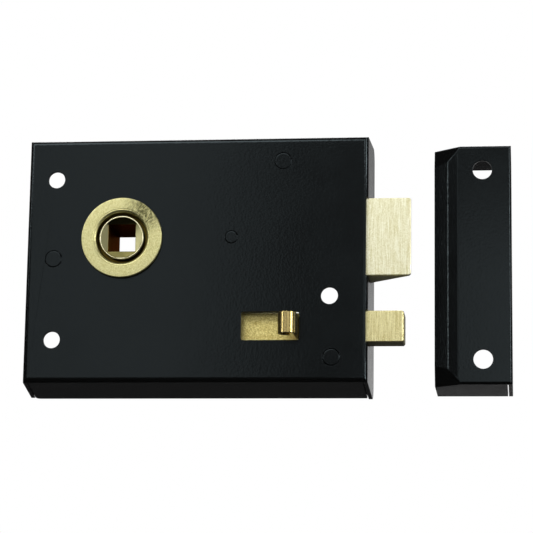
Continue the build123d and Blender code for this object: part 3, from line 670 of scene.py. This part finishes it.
# %% Open the fore-end
LATCH_HALF, LATCH_REAR_Y = 11.6, -8.6
SNIB_HALF, SNIB_REAR_Y = 4.6, -12.0
BOLT_GAP, BEND_X, BEND_Y = 0.2, 0.6, 1.5      # the last two from the corner of the bend
for z, half, rear_y in ((0, LATCH_HALF, LATCH_REAR_Y), (SNIB_Z, SNIB_HALF, SNIB_REAR_Y)):
    low_z, high_z = z - half - BOLT_GAP, z + half + BOLT_GAP
    cut(case, add_block("opening", (FORE_END_X - PAST_SHEET, FACE_Y + SHEET, low_z),
                        (FORE_END_X + 1, rear_y + BOLT_GAP, high_z)),
        add_block("bend_opening", (FORE_END_X - BEND_X, FACE_Y - BEND_Y, low_z),
                  (FORE_END_X + 1, FACE_Y + BEND_Y, high_z)))
PRESSED_EDGE = 0.12
break_edges(case, PRESSED_EDGE)
finish_piece(case, "enamel", "case_shell")

# %% [markdown]
# ## The keep
#
# The keep is a second box of the same steel, screwed to the door frame. It is open behind and on
# the side of the lock, where its face slopes off into a lip that the bevelled latch rides over.
# A block is divided where the face bends and its left part is pushed back step by step. One
# slanted cut takes off each corner of the lip, where the sheet turns from the lip into the end.
# The same steps, 1.2 mm further in, make the block that hollows it out.

# %% Fold the keep
LIP_X, SLOPE_X, RIDGE_X, KEEP_X = 92.4, 96.4, 99.2, 114.7
KEEP_Y, KEEP_LOW, KEEP_HIGH = -25.7, -44.4, 25.7
SLOPE_DROP, LIP_DROP = 0.9, 3.5
AT_RIDGE, AT_BEAD, AT_LIP = 1.5, 4.5, 5.7      # reach of a slanted corner at each of them


def folded_block(name, low, high, folds, inset=0.0):
    """A block whose front is pushed back at each fold (X, drop), with slanted corners."""
    block = add_block(name, low, high)
    for fold_x, _ in folds[:-1]:
        choose(block, "FACE", anywhere)
        bpy.ops.mesh.bisect(plane_co=at_mm(fold_x, 0, 0), plane_no=(1, 0, 0))
    for fold_x, drop in folds:
        choose(block, "VERT", lambda x, y, z: abs(x - fold_x) < 0.1 and y < -1)
        shift(y=drop)
    for end_z, way in ((KEEP_LOW, 1), (KEEP_HIGH, -1)):
        ridge = Vector((RIDGE_X, KEEP_Y, end_z + way * AT_RIDGE))
        bead = Vector((SLOPE_X, KEEP_Y + SLOPE_DROP, end_z + way * AT_BEAD))
        lip = Vector((LIP_X, KEEP_Y + AT_LIP, end_z))
        outward = (bead - ridge).cross(lip - ridge).normalized() * way
        choose(block, "FACE", anywhere)
        bpy.ops.mesh.bisect(plane_co=(ridge - outward * inset) * MM, plane_no=outward,
                            use_fill=True, clear_outer=True)
    choose(block, "FACE", anywhere)
    bpy.ops.mesh.dissolve_limited(angle_limit=math.radians(1))
    return block


keep = folded_block("keep_pressing", (LIP_X, KEEP_Y, KEEP_LOW), (KEEP_X, 0, KEEP_HIGH),
                    [(RIDGE_X, 0), (SLOPE_X, SLOPE_DROP), (LIP_X, LIP_DROP)])

# %% [markdown]
# The bends differ: the walls are folded over 1.5 mm, and the ridge, the bead of the lip and the
# slanted corners are hardly more than creases. So every bend gets a bevel weight, as a share of
# the widest one, and one Bevel modifier rounds them all together.

# %% Round the bends of the keep
FRONT_Y = -19.9        # just behind the whole front, with the corners of the lip
BENDS = [
    (1.0, lambda x, y, z: (z > KEEP_HIGH - 0.1 or z < KEEP_LOW + 0.1) and y < FRONT_Y),
    (1.0, lambda x, y, z: x > KEEP_X - 0.1 and y < FRONT_Y),
    (0.2, lambda x, y, z: abs(x - RIDGE_X) < 0.1 and y < FRONT_Y),
    (0.35, lambda x, y, z: abs(x - SLOPE_X) < 0.1 and y < FRONT_Y)]
CORNER_BEND, WIDEST_BEND = 0.35, 1.5
for share, test in BENDS:
    choose(keep, "EDGE", test)
    bpy.ops.transform.edge_bevelweight(value=share)
for end_z in (KEEP_LOW, KEEP_HIGH):
    for left, right in ((LIP_X, SLOPE_X), (SLOPE_X, RIDGE_X)):
        choose(keep, "EDGE", lambda x, y, z: left - 0.1 < x < right + 0.1 and y < -22
               and 1 < abs(z - end_z) < 6)
        bpy.ops.transform.edge_bevelweight(value=CORNER_BEND)
apply_modifier(keep, "BEVEL", width=WIDEST_BEND * MM, segments=6, limit_method="WEIGHT")

# %% [markdown]
# The hollow is folded at the same places, each moved along so that the sheet keeps its 1.2 mm.

# %% Hollow the keep
slope = math.atan2(SLOPE_DROP, RIDGE_X - SLOPE_X)
lip_lean = math.atan2(LIP_DROP - SLOPE_DROP, SLOPE_X - LIP_X)
ridge_in = SHEET * math.tan(slope / 2)
bead_in = SHEET * math.sin((slope + lip_lean) / 2) / math.cos((lip_lean - slope) / 2)
bead_back = SHEET * math.cos((slope + lip_lean) / 2) / math.cos((lip_lean - slope) / 2)
end_x = LIP_X - 1
end_back = bead_back + SLOPE_DROP + (SLOPE_X + bead_in - end_x) * math.tan(lip_lean) - SHEET
hollow = folded_block(
    "hollow", (end_x, KEEP_Y + SHEET, KEEP_LOW + SHEET),
    (KEEP_X - SHEET, BEHIND, KEEP_HIGH - SHEET),
    [(RIDGE_X + ridge_in, 0), (SLOPE_X + bead_in, SLOPE_DROP + bead_back - SHEET),
     (end_x, end_back)], inset=SHEET)
cut(keep, hollow)

# %% [markdown]
# Seams stay open beside the right wall, and two holes take the screws.

# %% Pierce the keep
KEEP_SCREW_X, KEEP_SCREWS_Z, KEEP_SCREW = 106.4, (18.45, -37.15), 2.8
cut(keep, add_block("seam", (KEEP_X - SHEET - SEAM, KEEP_Y + SEAM_START, KEEP_LOW - 2),
                    (KEEP_X - SHEET, BEHIND, KEEP_HIGH + 2)))
for z in KEEP_SCREWS_Z:
    drill(keep, KEEP_SCREW_X, z, KEEP_SCREW, KEEP_Y - BEFORE, KEEP_Y + PAST_SHEET)
break_edges(keep, PRESSED_EDGE)
finish_piece(keep, "enamel", "keep")

# %% [markdown]
# ## The works inside the case
#
# Three turned pillars are riveted into the face and tapped behind for the back plate's screws.
# One is modelled and copied. Its riveted end is flat in the middle, a shade smaller than the hole
# and rounded at its rim, so a fine groove shows round it under the enamel.

# %% Turn the pillars
INSIDE_Y = FACE_Y + SHEET
PLATE_FRONT_Y, PLATE_REAR_Y = -5.2, -4.0
PILLAR, TAPPED, TAPPED_Y = 3.5, 2.03, -14.2
SHOULDER = 0.15


def riveted_body(rivet, body):
    """Profile of an end riveted flush into the face, and of the body up to the back plate."""
    return [
        (0, FACE_Y + 0.01), (rivet - 0.4, FACE_Y), (rivet - 0.25, FACE_Y),
        (rivet - 0.08, FACE_Y + 0.08), (rivet + 0.01, FACE_Y + 0.3), (rivet + 0.02, INSIDE_Y),
        (body - SHOULDER, INSIDE_Y), (body, INSIDE_Y + SHOULDER),
        (body, PLATE_FRONT_Y - SHOULDER), (body - SHOULDER, PLATE_FRONT_Y)]


pillar = turn("pillar", riveted_body(PILLAR_RIVET, PILLAR) + [
    (TAPPED, PLATE_FRONT_Y), (TAPPED, TAPPED_Y), (0, TAPPED_Y - 0.4)])
for side, (x, z) in PILLARS.items():
    finish_piece(copy_to(pillar, f"pillar_{side}_turned", x, z), "riveted", f"pillar_{side}")
bpy.data.objects.remove(pillar)

# %% [markdown]
# The guide post is turned in the same way, cross-drilled for the latch rod and riveted at both
# ends, into the face and into the back plate.

# %% Turn the guide post
ROD_Y, POST, PLATE_RIVET, ROD_HOLE = -14.6, 4.2, 1.92, 2.06
post = turn("guide_post_turned", riveted_body(POST_RIVET, POST) + [
    (PLATE_RIVET, PLATE_FRONT_Y), (PLATE_RIVET, PLATE_REAR_Y), (0, PLATE_REAR_Y)], POST_X)
cut(post, add_rod("drill", (POST_X - 6, ROD_Y, 0), (POST_X + 6, ROD_Y, 0), ROD_HOLE))
break_edges(post, 0.08)
finish_piece(post, "riveted", "guide_post")

# %% [markdown]
# The cheese-head screws are one shape as well: turned, slotted with a saw, and copied three
# times. Each came to rest with its slot at the same turn on the drawing.

# %% Turn and slot the screws
SCREW, SCREW_END_Y, HEAD, HEAD_HEIGHT, HEAD_ROUND = 2.0, -13.2, 3.4, 2.0, 0.4
SAW_HALF, SAW_DEPTH, SAW_TURN = 0.45, 1.0, 32
head_y = PLATE_REAR_Y + HEAD_HEIGHT
screw = turn("screw", [
    (0, SCREW_END_Y), (SCREW - 0.4, SCREW_END_Y), (SCREW, SCREW_END_Y + 0.4),
    (SCREW, PLATE_REAR_Y), (HEAD, PLATE_REAR_Y), (HEAD, head_y - HEAD_ROUND),
    *arc((HEAD - HEAD_ROUND, head_y - HEAD_ROUND), HEAD_ROUND, 0, 90, 4), (0, head_y)])
saw = add_block("saw", (-5, head_y - SAW_DEPTH, -SAW_HALF), (5, head_y + 1, SAW_HALF))
choose(saw, "VERT", anywhere)
bpy.ops.transform.rotate(value=math.radians(SAW_TURN), orient_axis="Y", center_override=(0, 0, 0))
cut(screw, saw)
screws = [copy_to(screw, f"screw_{side}", x, z) for side, (x, z) in PILLARS.items()]
bpy.data.objects.remove(screw)
activate(screws[0])
for other in screws[1:]:
    other.select_set(True)
bpy.ops.object.join()
screws[0].name = "cheese_head_screws"
break_edges(screws[0], 0.06)
finish_piece(screws[0], "zinc", "back_plate_screws")

# %% [markdown]
# **Stamped and drawn parts.** The back plate, the yoke, the rod, the pins, the stud and the
# detent spring already have their real shape in the measured model, with knife-sharp edges. Each
# is copied, its loose triangles are merged into whole faces, and its edges are broken.

# %% Copy a measured shape
def copy_measured(node, name):
    """A copy of a measured shape with its triangles merged into whole faces."""
    deselect()
    piece = nodes[node].copy()
    piece.data = nodes[node].data.copy()
    piece.name = name
    piece.parent = None
    for key in list(piece.keys()):
        del piece[key]
    bpy.context.scene.collection.objects.link(piece)
    choose(piece, "VERT", anywhere)
    bpy.ops.mesh.remove_doubles(threshold=0.002 * MM)
    bpy.ops.mesh.dissolve_limited(angle_limit=math.radians(1))
    return piece


for node, name, material, edge in (
        ("back_plate", "back_plate_stamping", "zinc", 0.15),
        ("latch_yoke", "latch_yoke_stamping", "zinc", 0.15),
        ("latch_rod", "latch_rod_drawn", "drawn", 0.1),
        ("latch_pin", "latch_cross_pin", "drawn", 0.1),
        ("snib_stud", "snib_stud_turned", "turned_steel", 0.1),
        ("snib_rivets", "snib_rivets_filed", "filed", 0.06),
        ("detent_spring", "detent_leaf", "spring", 0.06)):
    made = copy_measured(node, name)
    break_edges(made, edge)
    finish_piece(made, material, node)

# %% [markdown]
# **The latch spring** is one wire of 0.8 mm wound round the rod: six open turns with a closed turn
# at each end, where it sits on the post and on the head. A curve through the winding is given a
# round section and made a mesh. As the latch goes in, the spring is pressed against the post.

# %% Wind the latch spring
WIRE, COIL_RADIUS, TURNS = 0.8, 3.2, 8
COIL_START_X, COIL_END_X, CLOSED_PITCH = 37.45, 57.45, 1.3
STEPS_PER_TURN = 32
open_pitch = (COIL_END_X - COIL_START_X - 2 * CLOSED_PITCH) / (TURNS - 2)


def coil_point(turn_at):
    """Point of the wire's middle line after this many turns."""
    along = (min(turn_at, 1) + max(turn_at - TURNS + 1, 0)) * CLOSED_PITCH
    along += min(max(turn_at - 1, 0), TURNS - 2) * open_pitch
    angle = 2 * math.pi * turn_at
    return at_mm(COIL_START_X + along, ROD_Y + COIL_RADIUS * math.cos(angle),
                 COIL_RADIUS * math.sin(angle))


wire = bpy.data.curves.new("latch_coil", "CURVE")
wire.dimensions = "3D"
wire.bevel_depth = WIRE / 2 * MM
wire.bevel_resolution = 3
wire.use_fill_caps = True
line = wire.splines.new("POLY")
line.points.add(TURNS * STEPS_PER_TURN)
for step, point in enumerate(line.points):
    point.co = (*coil_point(step / STEPS_PER_TURN), 1)
coil = bpy.data.objects.new("latch_coil", wire)
bpy.context.scene.collection.objects.link(coil)
activate(coil)
bpy.ops.object.convert(target="MESH")
finish_piece(coil, "spring", "latch_spring")
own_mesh(coil)

# %% [markdown]
# ## The brass
#
# **The bush** is the ring round the spindle: a turned eyelet whose flange lies on the face, whose
# mouth is rolled into the bore, and whose sleeve is swaged over behind the sheet. A fine step
# parts the flat flange from the roll.

# %% Turn the bush
BORE, FLANGE, ROLL, RIM, BUSH_REAR_Y = 7.6, 12.1, 1.05, 0.35, -17.6
bush = turn("bush_turned", [
    (BORE, BUSH_REAR_Y), (BORE, FLANGE_Y + 1.15),
    *arc((BORE + ROLL, FLANGE_Y + 1.1), ROLL, 180, 262, 8),
    (SLEEVE - 0.18, FLANGE_Y + 0.12), (SLEEVE - 0.08, FLANGE_Y + 0.02), (SLEEVE, FLANGE_Y),
    (FLANGE - RIM, FLANGE_Y), *arc((FLANGE - RIM, FLANGE_Y + RIM), RIM, -90, 0, 4),
    (FLANGE, FACE_Y), (SLEEVE, FACE_Y), (SLEEVE, INSIDE_Y), (SLEEVE + 1, INSIDE_Y),
    (SLEEVE, INSIDE_Y + 1), (SLEEVE, BUSH_REAR_Y - 0.15), (SLEEVE - 0.15, BUSH_REAR_Y),
    (BORE, BUSH_REAR_Y)], steps=96)
finish_piece(bush, "turned", "spindle_bush")

# %% [markdown]
# **The follower** is the hub that the spindle turns. Its body is turned, two arms are cast on
# it, and an 8 mm square is broached through. The mouth of the square is filed back on four sides
# into shallow slopes that lead the spindle in, inside a polished ring.

# %% Make the follower
NOSE, JOURNAL, HUB, REAR_JOURNAL = 6.55, 7.55, 8.5, 6.95
NOSE_Y, JOURNAL_Y, HUB_FRONT_Y, HUB_REAR_Y = -22.9, -19.4, -17.4, -5.4
NOSE_ROUND, HUB_EDGE = 0.2, 0.3
follower = turn("follower_casting", [
    (0, NOSE_Y), (NOSE - NOSE_ROUND, NOSE_Y),
    *arc((NOSE - NOSE_ROUND, NOSE_Y + NOSE_ROUND), NOSE_ROUND, -90, 0, 4),
    (NOSE, JOURNAL_Y), (JOURNAL - 0.05, JOURNAL_Y), (JOURNAL, JOURNAL_Y + 0.05),
    (JOURNAL, HUB_FRONT_Y), (HUB - HUB_EDGE, HUB_FRONT_Y), (HUB, HUB_FRONT_Y + HUB_EDGE),
    (HUB, HUB_REAR_Y - HUB_EDGE), (HUB - HUB_EDGE, HUB_REAR_Y), (REAR_JOURNAL, HUB_REAR_Y),
    (REAR_JOURNAL, PLATE_REAR_Y), (0, PLATE_REAR_Y)], steps=96)
ARM_HALF, ARM_REACH, ARM_FRONT_Y, ARM_REAR_Y = 2.5, 21.0, -15.4, -11.4
arms = add_block("arms", (-ARM_HALF, ARM_FRONT_Y, -ARM_REACH), (ARM_HALF, ARM_REAR_Y, ARM_REACH))
choose(arms, "EDGE", *either_side(lambda x, y, z: x < 0), *either_side(lambda x, y, z: x > 0))
round_edges(1.0)
cut(follower, arms, operation="UNION")

# %% [markdown]
# The slopes of the mouth are cut by a block whose rear end is drawn in, kept within the ring.

# %% Broach the square
SQUARE, MOUTH, MOUTH_DEPTH, MOUTH_SHARE, RING = 4.05, 6.92, 0.85, 0.546, 6.2
cut(follower, add_block("broach", (-SQUARE, -26, -SQUARE), (SQUARE, 0, SQUARE)))
lead = add_block("lead_in", (-MOUTH, NOSE_Y - 0.3, -MOUTH), (MOUTH, NOSE_Y + MOUTH_DEPTH, MOUTH))
choose(lead, "VERT", lambda x, y, z: y > NOSE_Y)
bpy.ops.transform.resize(value=(MOUTH_SHARE, 1, MOUTH_SHARE), center_override=(0, 0, 0))
cut(lead, add_rod("ring", (0, NOSE_Y - 1, 0), (0, NOSE_Y + 2, 0), RING, 96),
    operation="INTERSECT")
cut(follower, lead)
break_edges(follower, 0.1)
finish_piece(follower, "cast", "follower")

# %% [markdown]
# **The latch head** is a brass block with a bevel behind its tip, so that the door pushes it in
# as it closes. The bevel is one slanted cut through the block, and the two corners of the tip are
# rounded more than the other edges.

# %% Shape the latch head
BOLT_LEFT, LATCH_TIP, BOLT_Y = 58.0, 85.5, -20.6
TIP_FLAT, TIP_ROUND = 0.8, 0.7
SOCKET, SOCKET_DEPTH, PIN_X, PIN_HOLE = 2.03, 8.03, 62.0, 1.28
latch = add_block("latch_head_linished", (BOLT_LEFT, BOLT_Y, -LATCH_HALF),
                  (LATCH_TIP, LATCH_REAR_Y, LATCH_HALF))
bevel_y = BOLT_Y + TIP_FLAT
bevel_side = Vector((LATCH_REAR_Y - bevel_y, LATCH_TIP - FORE_END_X, 0)).normalized()
choose(latch, "FACE", anywhere)
bpy.ops.mesh.bisect(plane_co=at_mm(LATCH_TIP, bevel_y, 0), plane_no=bevel_side, use_fill=True,
                    clear_outer=True)
choose(latch, "EDGE", *either_side(lambda x, y, z: x > LATCH_TIP - 0.1))
round_edges(TIP_ROUND)
cut(latch, add_rod("drill", (BOLT_LEFT - 1, ROD_Y, 0), (BOLT_LEFT + SOCKET_DEPTH, ROD_Y, 0),
                   SOCKET))
drill(latch, PIN_X, 0, PIN_HOLE)
break_edges(latch, 0.3, 3)
finish_piece(latch, "linished", "latch_head")

# %% [markdown]
# **The snib bolt** is a plain block with rounded tip edges. Its left end is slotted for the slide,
# and two rivets hold them together.

# %% Shape the snib bolt
SNIB_TIP = 83.5
SLIDE_FRONT_Y, SLIDE_REAR_Y, PLAY = -18.4, -15.9, 0.03
SNIB_RIVETS, RIVET_HOLE = (60.0, 64.0), 1.03
middle_y = (BOLT_Y + SNIB_REAR_Y) / 2
snib = add_block("snib_bolt_linished", (BOLT_LEFT, BOLT_Y, SNIB_Z - SNIB_HALF),
                 (SNIB_TIP, SNIB_REAR_Y, SNIB_Z + SNIB_HALF))
choose(snib, "EDGE", *either_side(lambda x, y, z: x > SNIB_TIP - 0.1, SNIB_Z),
       lambda x, y, z: x > SNIB_TIP - 0.1 and y < middle_y,
       lambda x, y, z: x > SNIB_TIP - 0.1 and y > middle_y)
round_edges(0.6)
cut(snib, add_block("saw", (BOLT_LEFT - 1, SLIDE_FRONT_Y - PLAY, SNIB_Z - 6),
                    (BOLT_LEFT + 8, SLIDE_REAR_Y + PLAY, SNIB_Z + 6)))
for x in SNIB_RIVETS:
    drill(snib, x, SNIB_Z, RIVET_HOLE)
break_edges(snib, 0.22, 3)
finish_piece(snib, "linished_snib_shaded", "snib_bolt")

# %% [markdown]
# **The slide** is a strip of brass, slotted for its guide stud, pierced for the thumb piece and
# notched below for the two places of the detent spring.

# %% Pierce the slide
SLIDE_LEFT, SLIDE_RIGHT, SLIDE_HALF = 17.0, 65.97, 4.4
STRIP_X, STRIP_HALF, TENON_HALF = 52.2, 0.5, 2.15
STUD_X, GUIDE, THROW = 22.0, 2.1, 10.5
NOTCH_X, NOTCH, NOTCH_DEPTH = 45.0, 2.0, 0.7
TOOL_Y, TOOL_END_Y = -20.0, -14.0
slide = add_block("slide_pressed", (SLIDE_LEFT, SLIDE_FRONT_Y, SNIB_Z - SLIDE_HALF),
                  (SLIDE_RIGHT, SLIDE_REAR_Y, SNIB_Z + SLIDE_HALF))
choose(slide, "EDGE", *either_side(lambda x, y, z: x < SLIDE_LEFT + 0.1, SNIB_Z))
round_edges(0.7)
cut(slide, add_block("guide_slot", (STUD_X, TOOL_Y, SNIB_Z - GUIDE),
                     (STUD_X + THROW, TOOL_END_Y, SNIB_Z + GUIDE)))
hole_x, hole_z = STRIP_HALF + PLAY, TENON_HALF + PLAY
for x in (STUD_X, STUD_X + THROW):
    drill(slide, x, SNIB_Z, GUIDE, TOOL_Y, TOOL_END_Y)
cut(slide, add_block("tenon_hole", (STRIP_X - hole_x, TOOL_Y, SNIB_Z - hole_z),
                     (STRIP_X + hole_x, TOOL_END_Y, SNIB_Z + hole_z)))
for x in SNIB_RIVETS:
    drill(slide, x, SNIB_Z, RIVET_HOLE, TOOL_Y, TOOL_END_Y)
for x in (NOTCH_X, NOTCH_X + THROW):
    drill(slide, x, SNIB_Z - SLIDE_HALF - (NOTCH - NOTCH_DEPTH), NOTCH, TOOL_Y, TOOL_END_Y)
break_edges(slide, 0.15)
finish_piece(slide, "pressed", "snib_slide")

# %% [markdown]
# **The thumb piece** is a strip that stands in the slide by a tenon, rises through the slot of the
# case and is rolled back into a curl. The strip's front end is spun round the middle of the curl.

# %% Roll the thumb piece
CURL_Y, CURL_X, CURL_SWEEP = -26.6, 50.0, 285
THUMB_HALF = 3.15
thumb = add_block("thumb_piece_rolled", (STRIP_X - STRIP_HALF, CURL_Y, SNIB_Z - THUMB_HALF),
                  (STRIP_X + STRIP_HALF, SLIDE_FRONT_Y, SNIB_Z + THUMB_HALF))
choose(thumb, "FACE", lambda x, y, z: y < CURL_Y + 0.1)
bpy.ops.mesh.spin(steps=36, angle=math.radians(CURL_SWEEP), center=at_mm(CURL_X, CURL_Y, 0),
                  axis=(0, 0, 1))
tidy_normals(thumb)
cut(thumb, add_block("tenon", (STRIP_X - STRIP_HALF, SLIDE_FRONT_Y - 0.5, SNIB_Z - TENON_HALF),
                     (STRIP_X + STRIP_HALF, SLIDE_REAR_Y, SNIB_Z + TENON_HALF)),
    operation="UNION")
break_edges(thumb, 0.15, 3)
finish_piece(thumb, "rolled", "thumb_piece")

# %% [markdown]
# ## The camera and the studio
#
# The camera stands where the photographer's did: the case shows a little of its underside and of
# its fore-end, so the lens is below the middle and to the right. Its place comes from the corners
# of the face in the photograph and the size of the case, for a picture 533 pixels square.

# %% Camera
FOCAL_PIXELS, PICTURE_PIXELS, SENSOR_MM = 2142.2, 533, 36
LENS = (117.23, -633.35, -131.97)
camera_data = bpy.data.cameras.new("camera")
camera_data.sensor_width = SENSOR_MM
camera_data.lens = FOCAL_PIXELS / PICTURE_PIXELS * SENSOR_MM
camera_data.clip_start = 0.01
camera = bpy.data.objects.new("camera", camera_data)
bpy.context.scene.collection.objects.link(camera)
backward = Vector((0.11781, -0.97352, -0.19589)).normalized()
upward = backward.cross(Vector((0.99300, 0.11720, 0.01475))).normalized()
across = upward.cross(backward)
axes = Matrix((across, upward, backward)).transposed().to_4x4()
camera.matrix_world = Matrix.Translation(at_mm(*LENS)) @ axes
bpy.context.scene.camera = camera
print("focal length:", round(camera_data.lens, 1), "mm")

# %% [markdown]
# The studio gives a plain soft light from all round, which is what matt surfaces see. Black enamel
# shows its shape only by what it mirrors, so what glossy rays meet is a dim room: lighter in front
# and behind, nearly dark at the sides and under the lock. A white card stands behind the lock: the
# lens sees it, and so do the metal's reflections.

# %% The room
PLAIN, CARD = "f0f0f0", "ffffff"
FRONT, SIDES, BACK = "7c7c7c", "1e1e20", "7a7a7a"


def studio_world():
    """Plain light for matt surfaces, a dim room for reflections and a white card behind."""
    world = bpy.data.worlds.new("studio")
    world.use_nodes = True
    bpy.context.scene.world = world
    tree = world.node_tree
    tree.nodes.clear()
    direction = add_node(tree, "ShaderNodeTexCoord").outputs["Generated"]
    split = add_node(tree, "ShaderNodeSeparateXYZ", {"Vector": direction})
    depth = add_node(tree, "ShaderNodeMapRange", {
        "Value": split.outputs["Y"], "From Min": -1.0, "From Max": 1.0})
    room = add_node(tree, "ShaderNodeValToRGB", {"Fac": depth.outputs["Result"]}, stops=[
        (0.03, FRONT), (0.09, SIDES), (0.75, SIDES), (1.0, BACK)])
    height = add_node(tree, "ShaderNodeMapRange", {
        "Value": split.outputs["Z"], "From Min": -0.2, "From Max": 0.1,
        "To Min": 0.05, "To Max": 1.0}, interpolation_type="SMOOTHSTEP")
    rear = add_node(tree, "ShaderNodeMapRange", {
        "Value": split.outputs["Y"], "From Min": 0.6, "From Max": 0.95,
        "To Min": 0.0, "To Max": 0.2})
    level = add_node(tree, "ShaderNodeMath", {
        0: height.outputs["Result"], 1: rear.outputs["Result"]}, operation="MAXIMUM")
    dim = add_node(tree, "ShaderNodeBackground", {
        "Color": room.outputs["Color"], "Strength": level.outputs["Value"]})
    plain = add_node(tree, "ShaderNodeBackground", {"Color": colour(PLAIN), "Strength": 1.0})
    card = add_node(tree, "ShaderNodeBackground", {"Color": colour(CARD), "Strength": 1.0})
    ray = add_node(tree, "ShaderNodeLightPath")
    light = add_node(tree, "ShaderNodeMixShader", {
        "Fac": ray.outputs["Is Glossy Ray"], 1: plain.outputs["Background"],
        2: dim.outputs["Background"]})
    behind = add_node(tree, "ShaderNodeMapRange", {
        "Value": split.outputs["Y"], "From Min": 0.95, "From Max": 1.03})
    above = add_node(tree, "ShaderNodeMapRange", {
        "Value": split.outputs["Z"], "From Min": -0.1, "From Max": 0.05})
    on_card = add_node(tree, "ShaderNodeMath", {
        0: behind.outputs["Result"], 1: above.outputs["Result"]}, operation="MULTIPLY")
    mirrored = add_node(tree, "ShaderNodeMath", {
        0: ray.outputs["Is Glossy Ray"], 1: on_card.outputs["Value"]}, operation="MULTIPLY")
    straight = add_node(tree, "ShaderNodeMath", {
        0: ray.outputs["Is Camera Ray"], 1: ray.outputs["Is Transmission Ray"]},
        operation="MAXIMUM")
    seen = add_node(tree, "ShaderNodeMath", {
        0: straight.outputs["Value"], 1: mirrored.outputs["Value"]}, operation="MAXIMUM")
    shown = add_node(tree, "ShaderNodeMixShader", {
        "Fac": seen.outputs["Value"], 1: light.outputs["Shader"],
        2: card.outputs["Background"]})
    add_node(tree, "ShaderNodeOutputWorld", {"Surface": shown.outputs["Shader"]})


studio_world()
print("world:", len(bpy.context.scene.world.node_tree.nodes), "nodes")

# %% [markdown]
# The floor lies well below the lock, because the lens looks up from under it. It takes the shadow
# of the lock, but the enamel doesn't mirror it: the underside in the photograph is nearly black.

# %% The floor
FLOOR_Z = -200.0


def studio_floor():
    """A plain pale floor that takes the shadow of the lock."""
    deselect()
    bpy.ops.mesh.primitive_plane_add(size=40, location=at_mm(0, 0, FLOOR_Z))
    floor = take_new("studio_floor")
    material, _, shader, _ = new_material("pale_floor_paint")
    shader.inputs["Base Color"].default_value = colour("e4e4e2")
    shader.inputs["Roughness"].default_value = 0.9
    floor.data.materials.append(material)
    floor.visible_glossy = False


studio_floor()

# %% [markdown]
# The key lamp stands to the left, where the left part of the face mirrors it, so the face falls
# off to the right. The fill lamp is what the keep mirrors. A strip on either side draws the
# upright highlights on the curl and on the keep's bead, the top lamp lights the brass, and the
# back lamp lights the floor and the works behind. The lamps don't show to the lens.

# %% Lamps
def soft_lamp(name, place, size, power, aim=(42, -12, -6)):
    """A wide soft lamp, placed in millimetres, that faces the object."""
    data = bpy.data.lights.new(name, "AREA")
    data.shape = "RECTANGLE"
    data.size, data.size_y = at_mm(*size)
    data.energy = power
    lamp = bpy.data.objects.new(name, data)
    lamp.location = at_mm(*place)
    towards = Vector(at_mm(*aim)) - lamp.location
    lamp.rotation_euler = towards.to_track_quat("-Z", "Y").to_euler()
    lamp.visible_camera = False
    bpy.context.scene.collection.objects.link(lamp)


soft_lamp("key_lamp", (-95, -470, 85), (160, 230), 0.095, (-30, 0, 0))
soft_lamp("fill_lamp", (165, -330, 5), (180, 150), 0.085, (120, 0, 0))
soft_lamp("left_strip", (-370, -340, 90), (70, 300), 0.5, (95, -24, -9))
soft_lamp("right_strip", (495, -253, 90), (130, 300), 1.2, (60, -24, -9))
soft_lamp("top_lamp", (-150, -520, 430), (700, 300), 2.9)
soft_lamp("back_lamp", (100, 500, 500), (600, 600), 3.5)
bpy.context.scene.view_settings.view_transform = "Standard"
print("lamps:", len(bpy.data.lights))
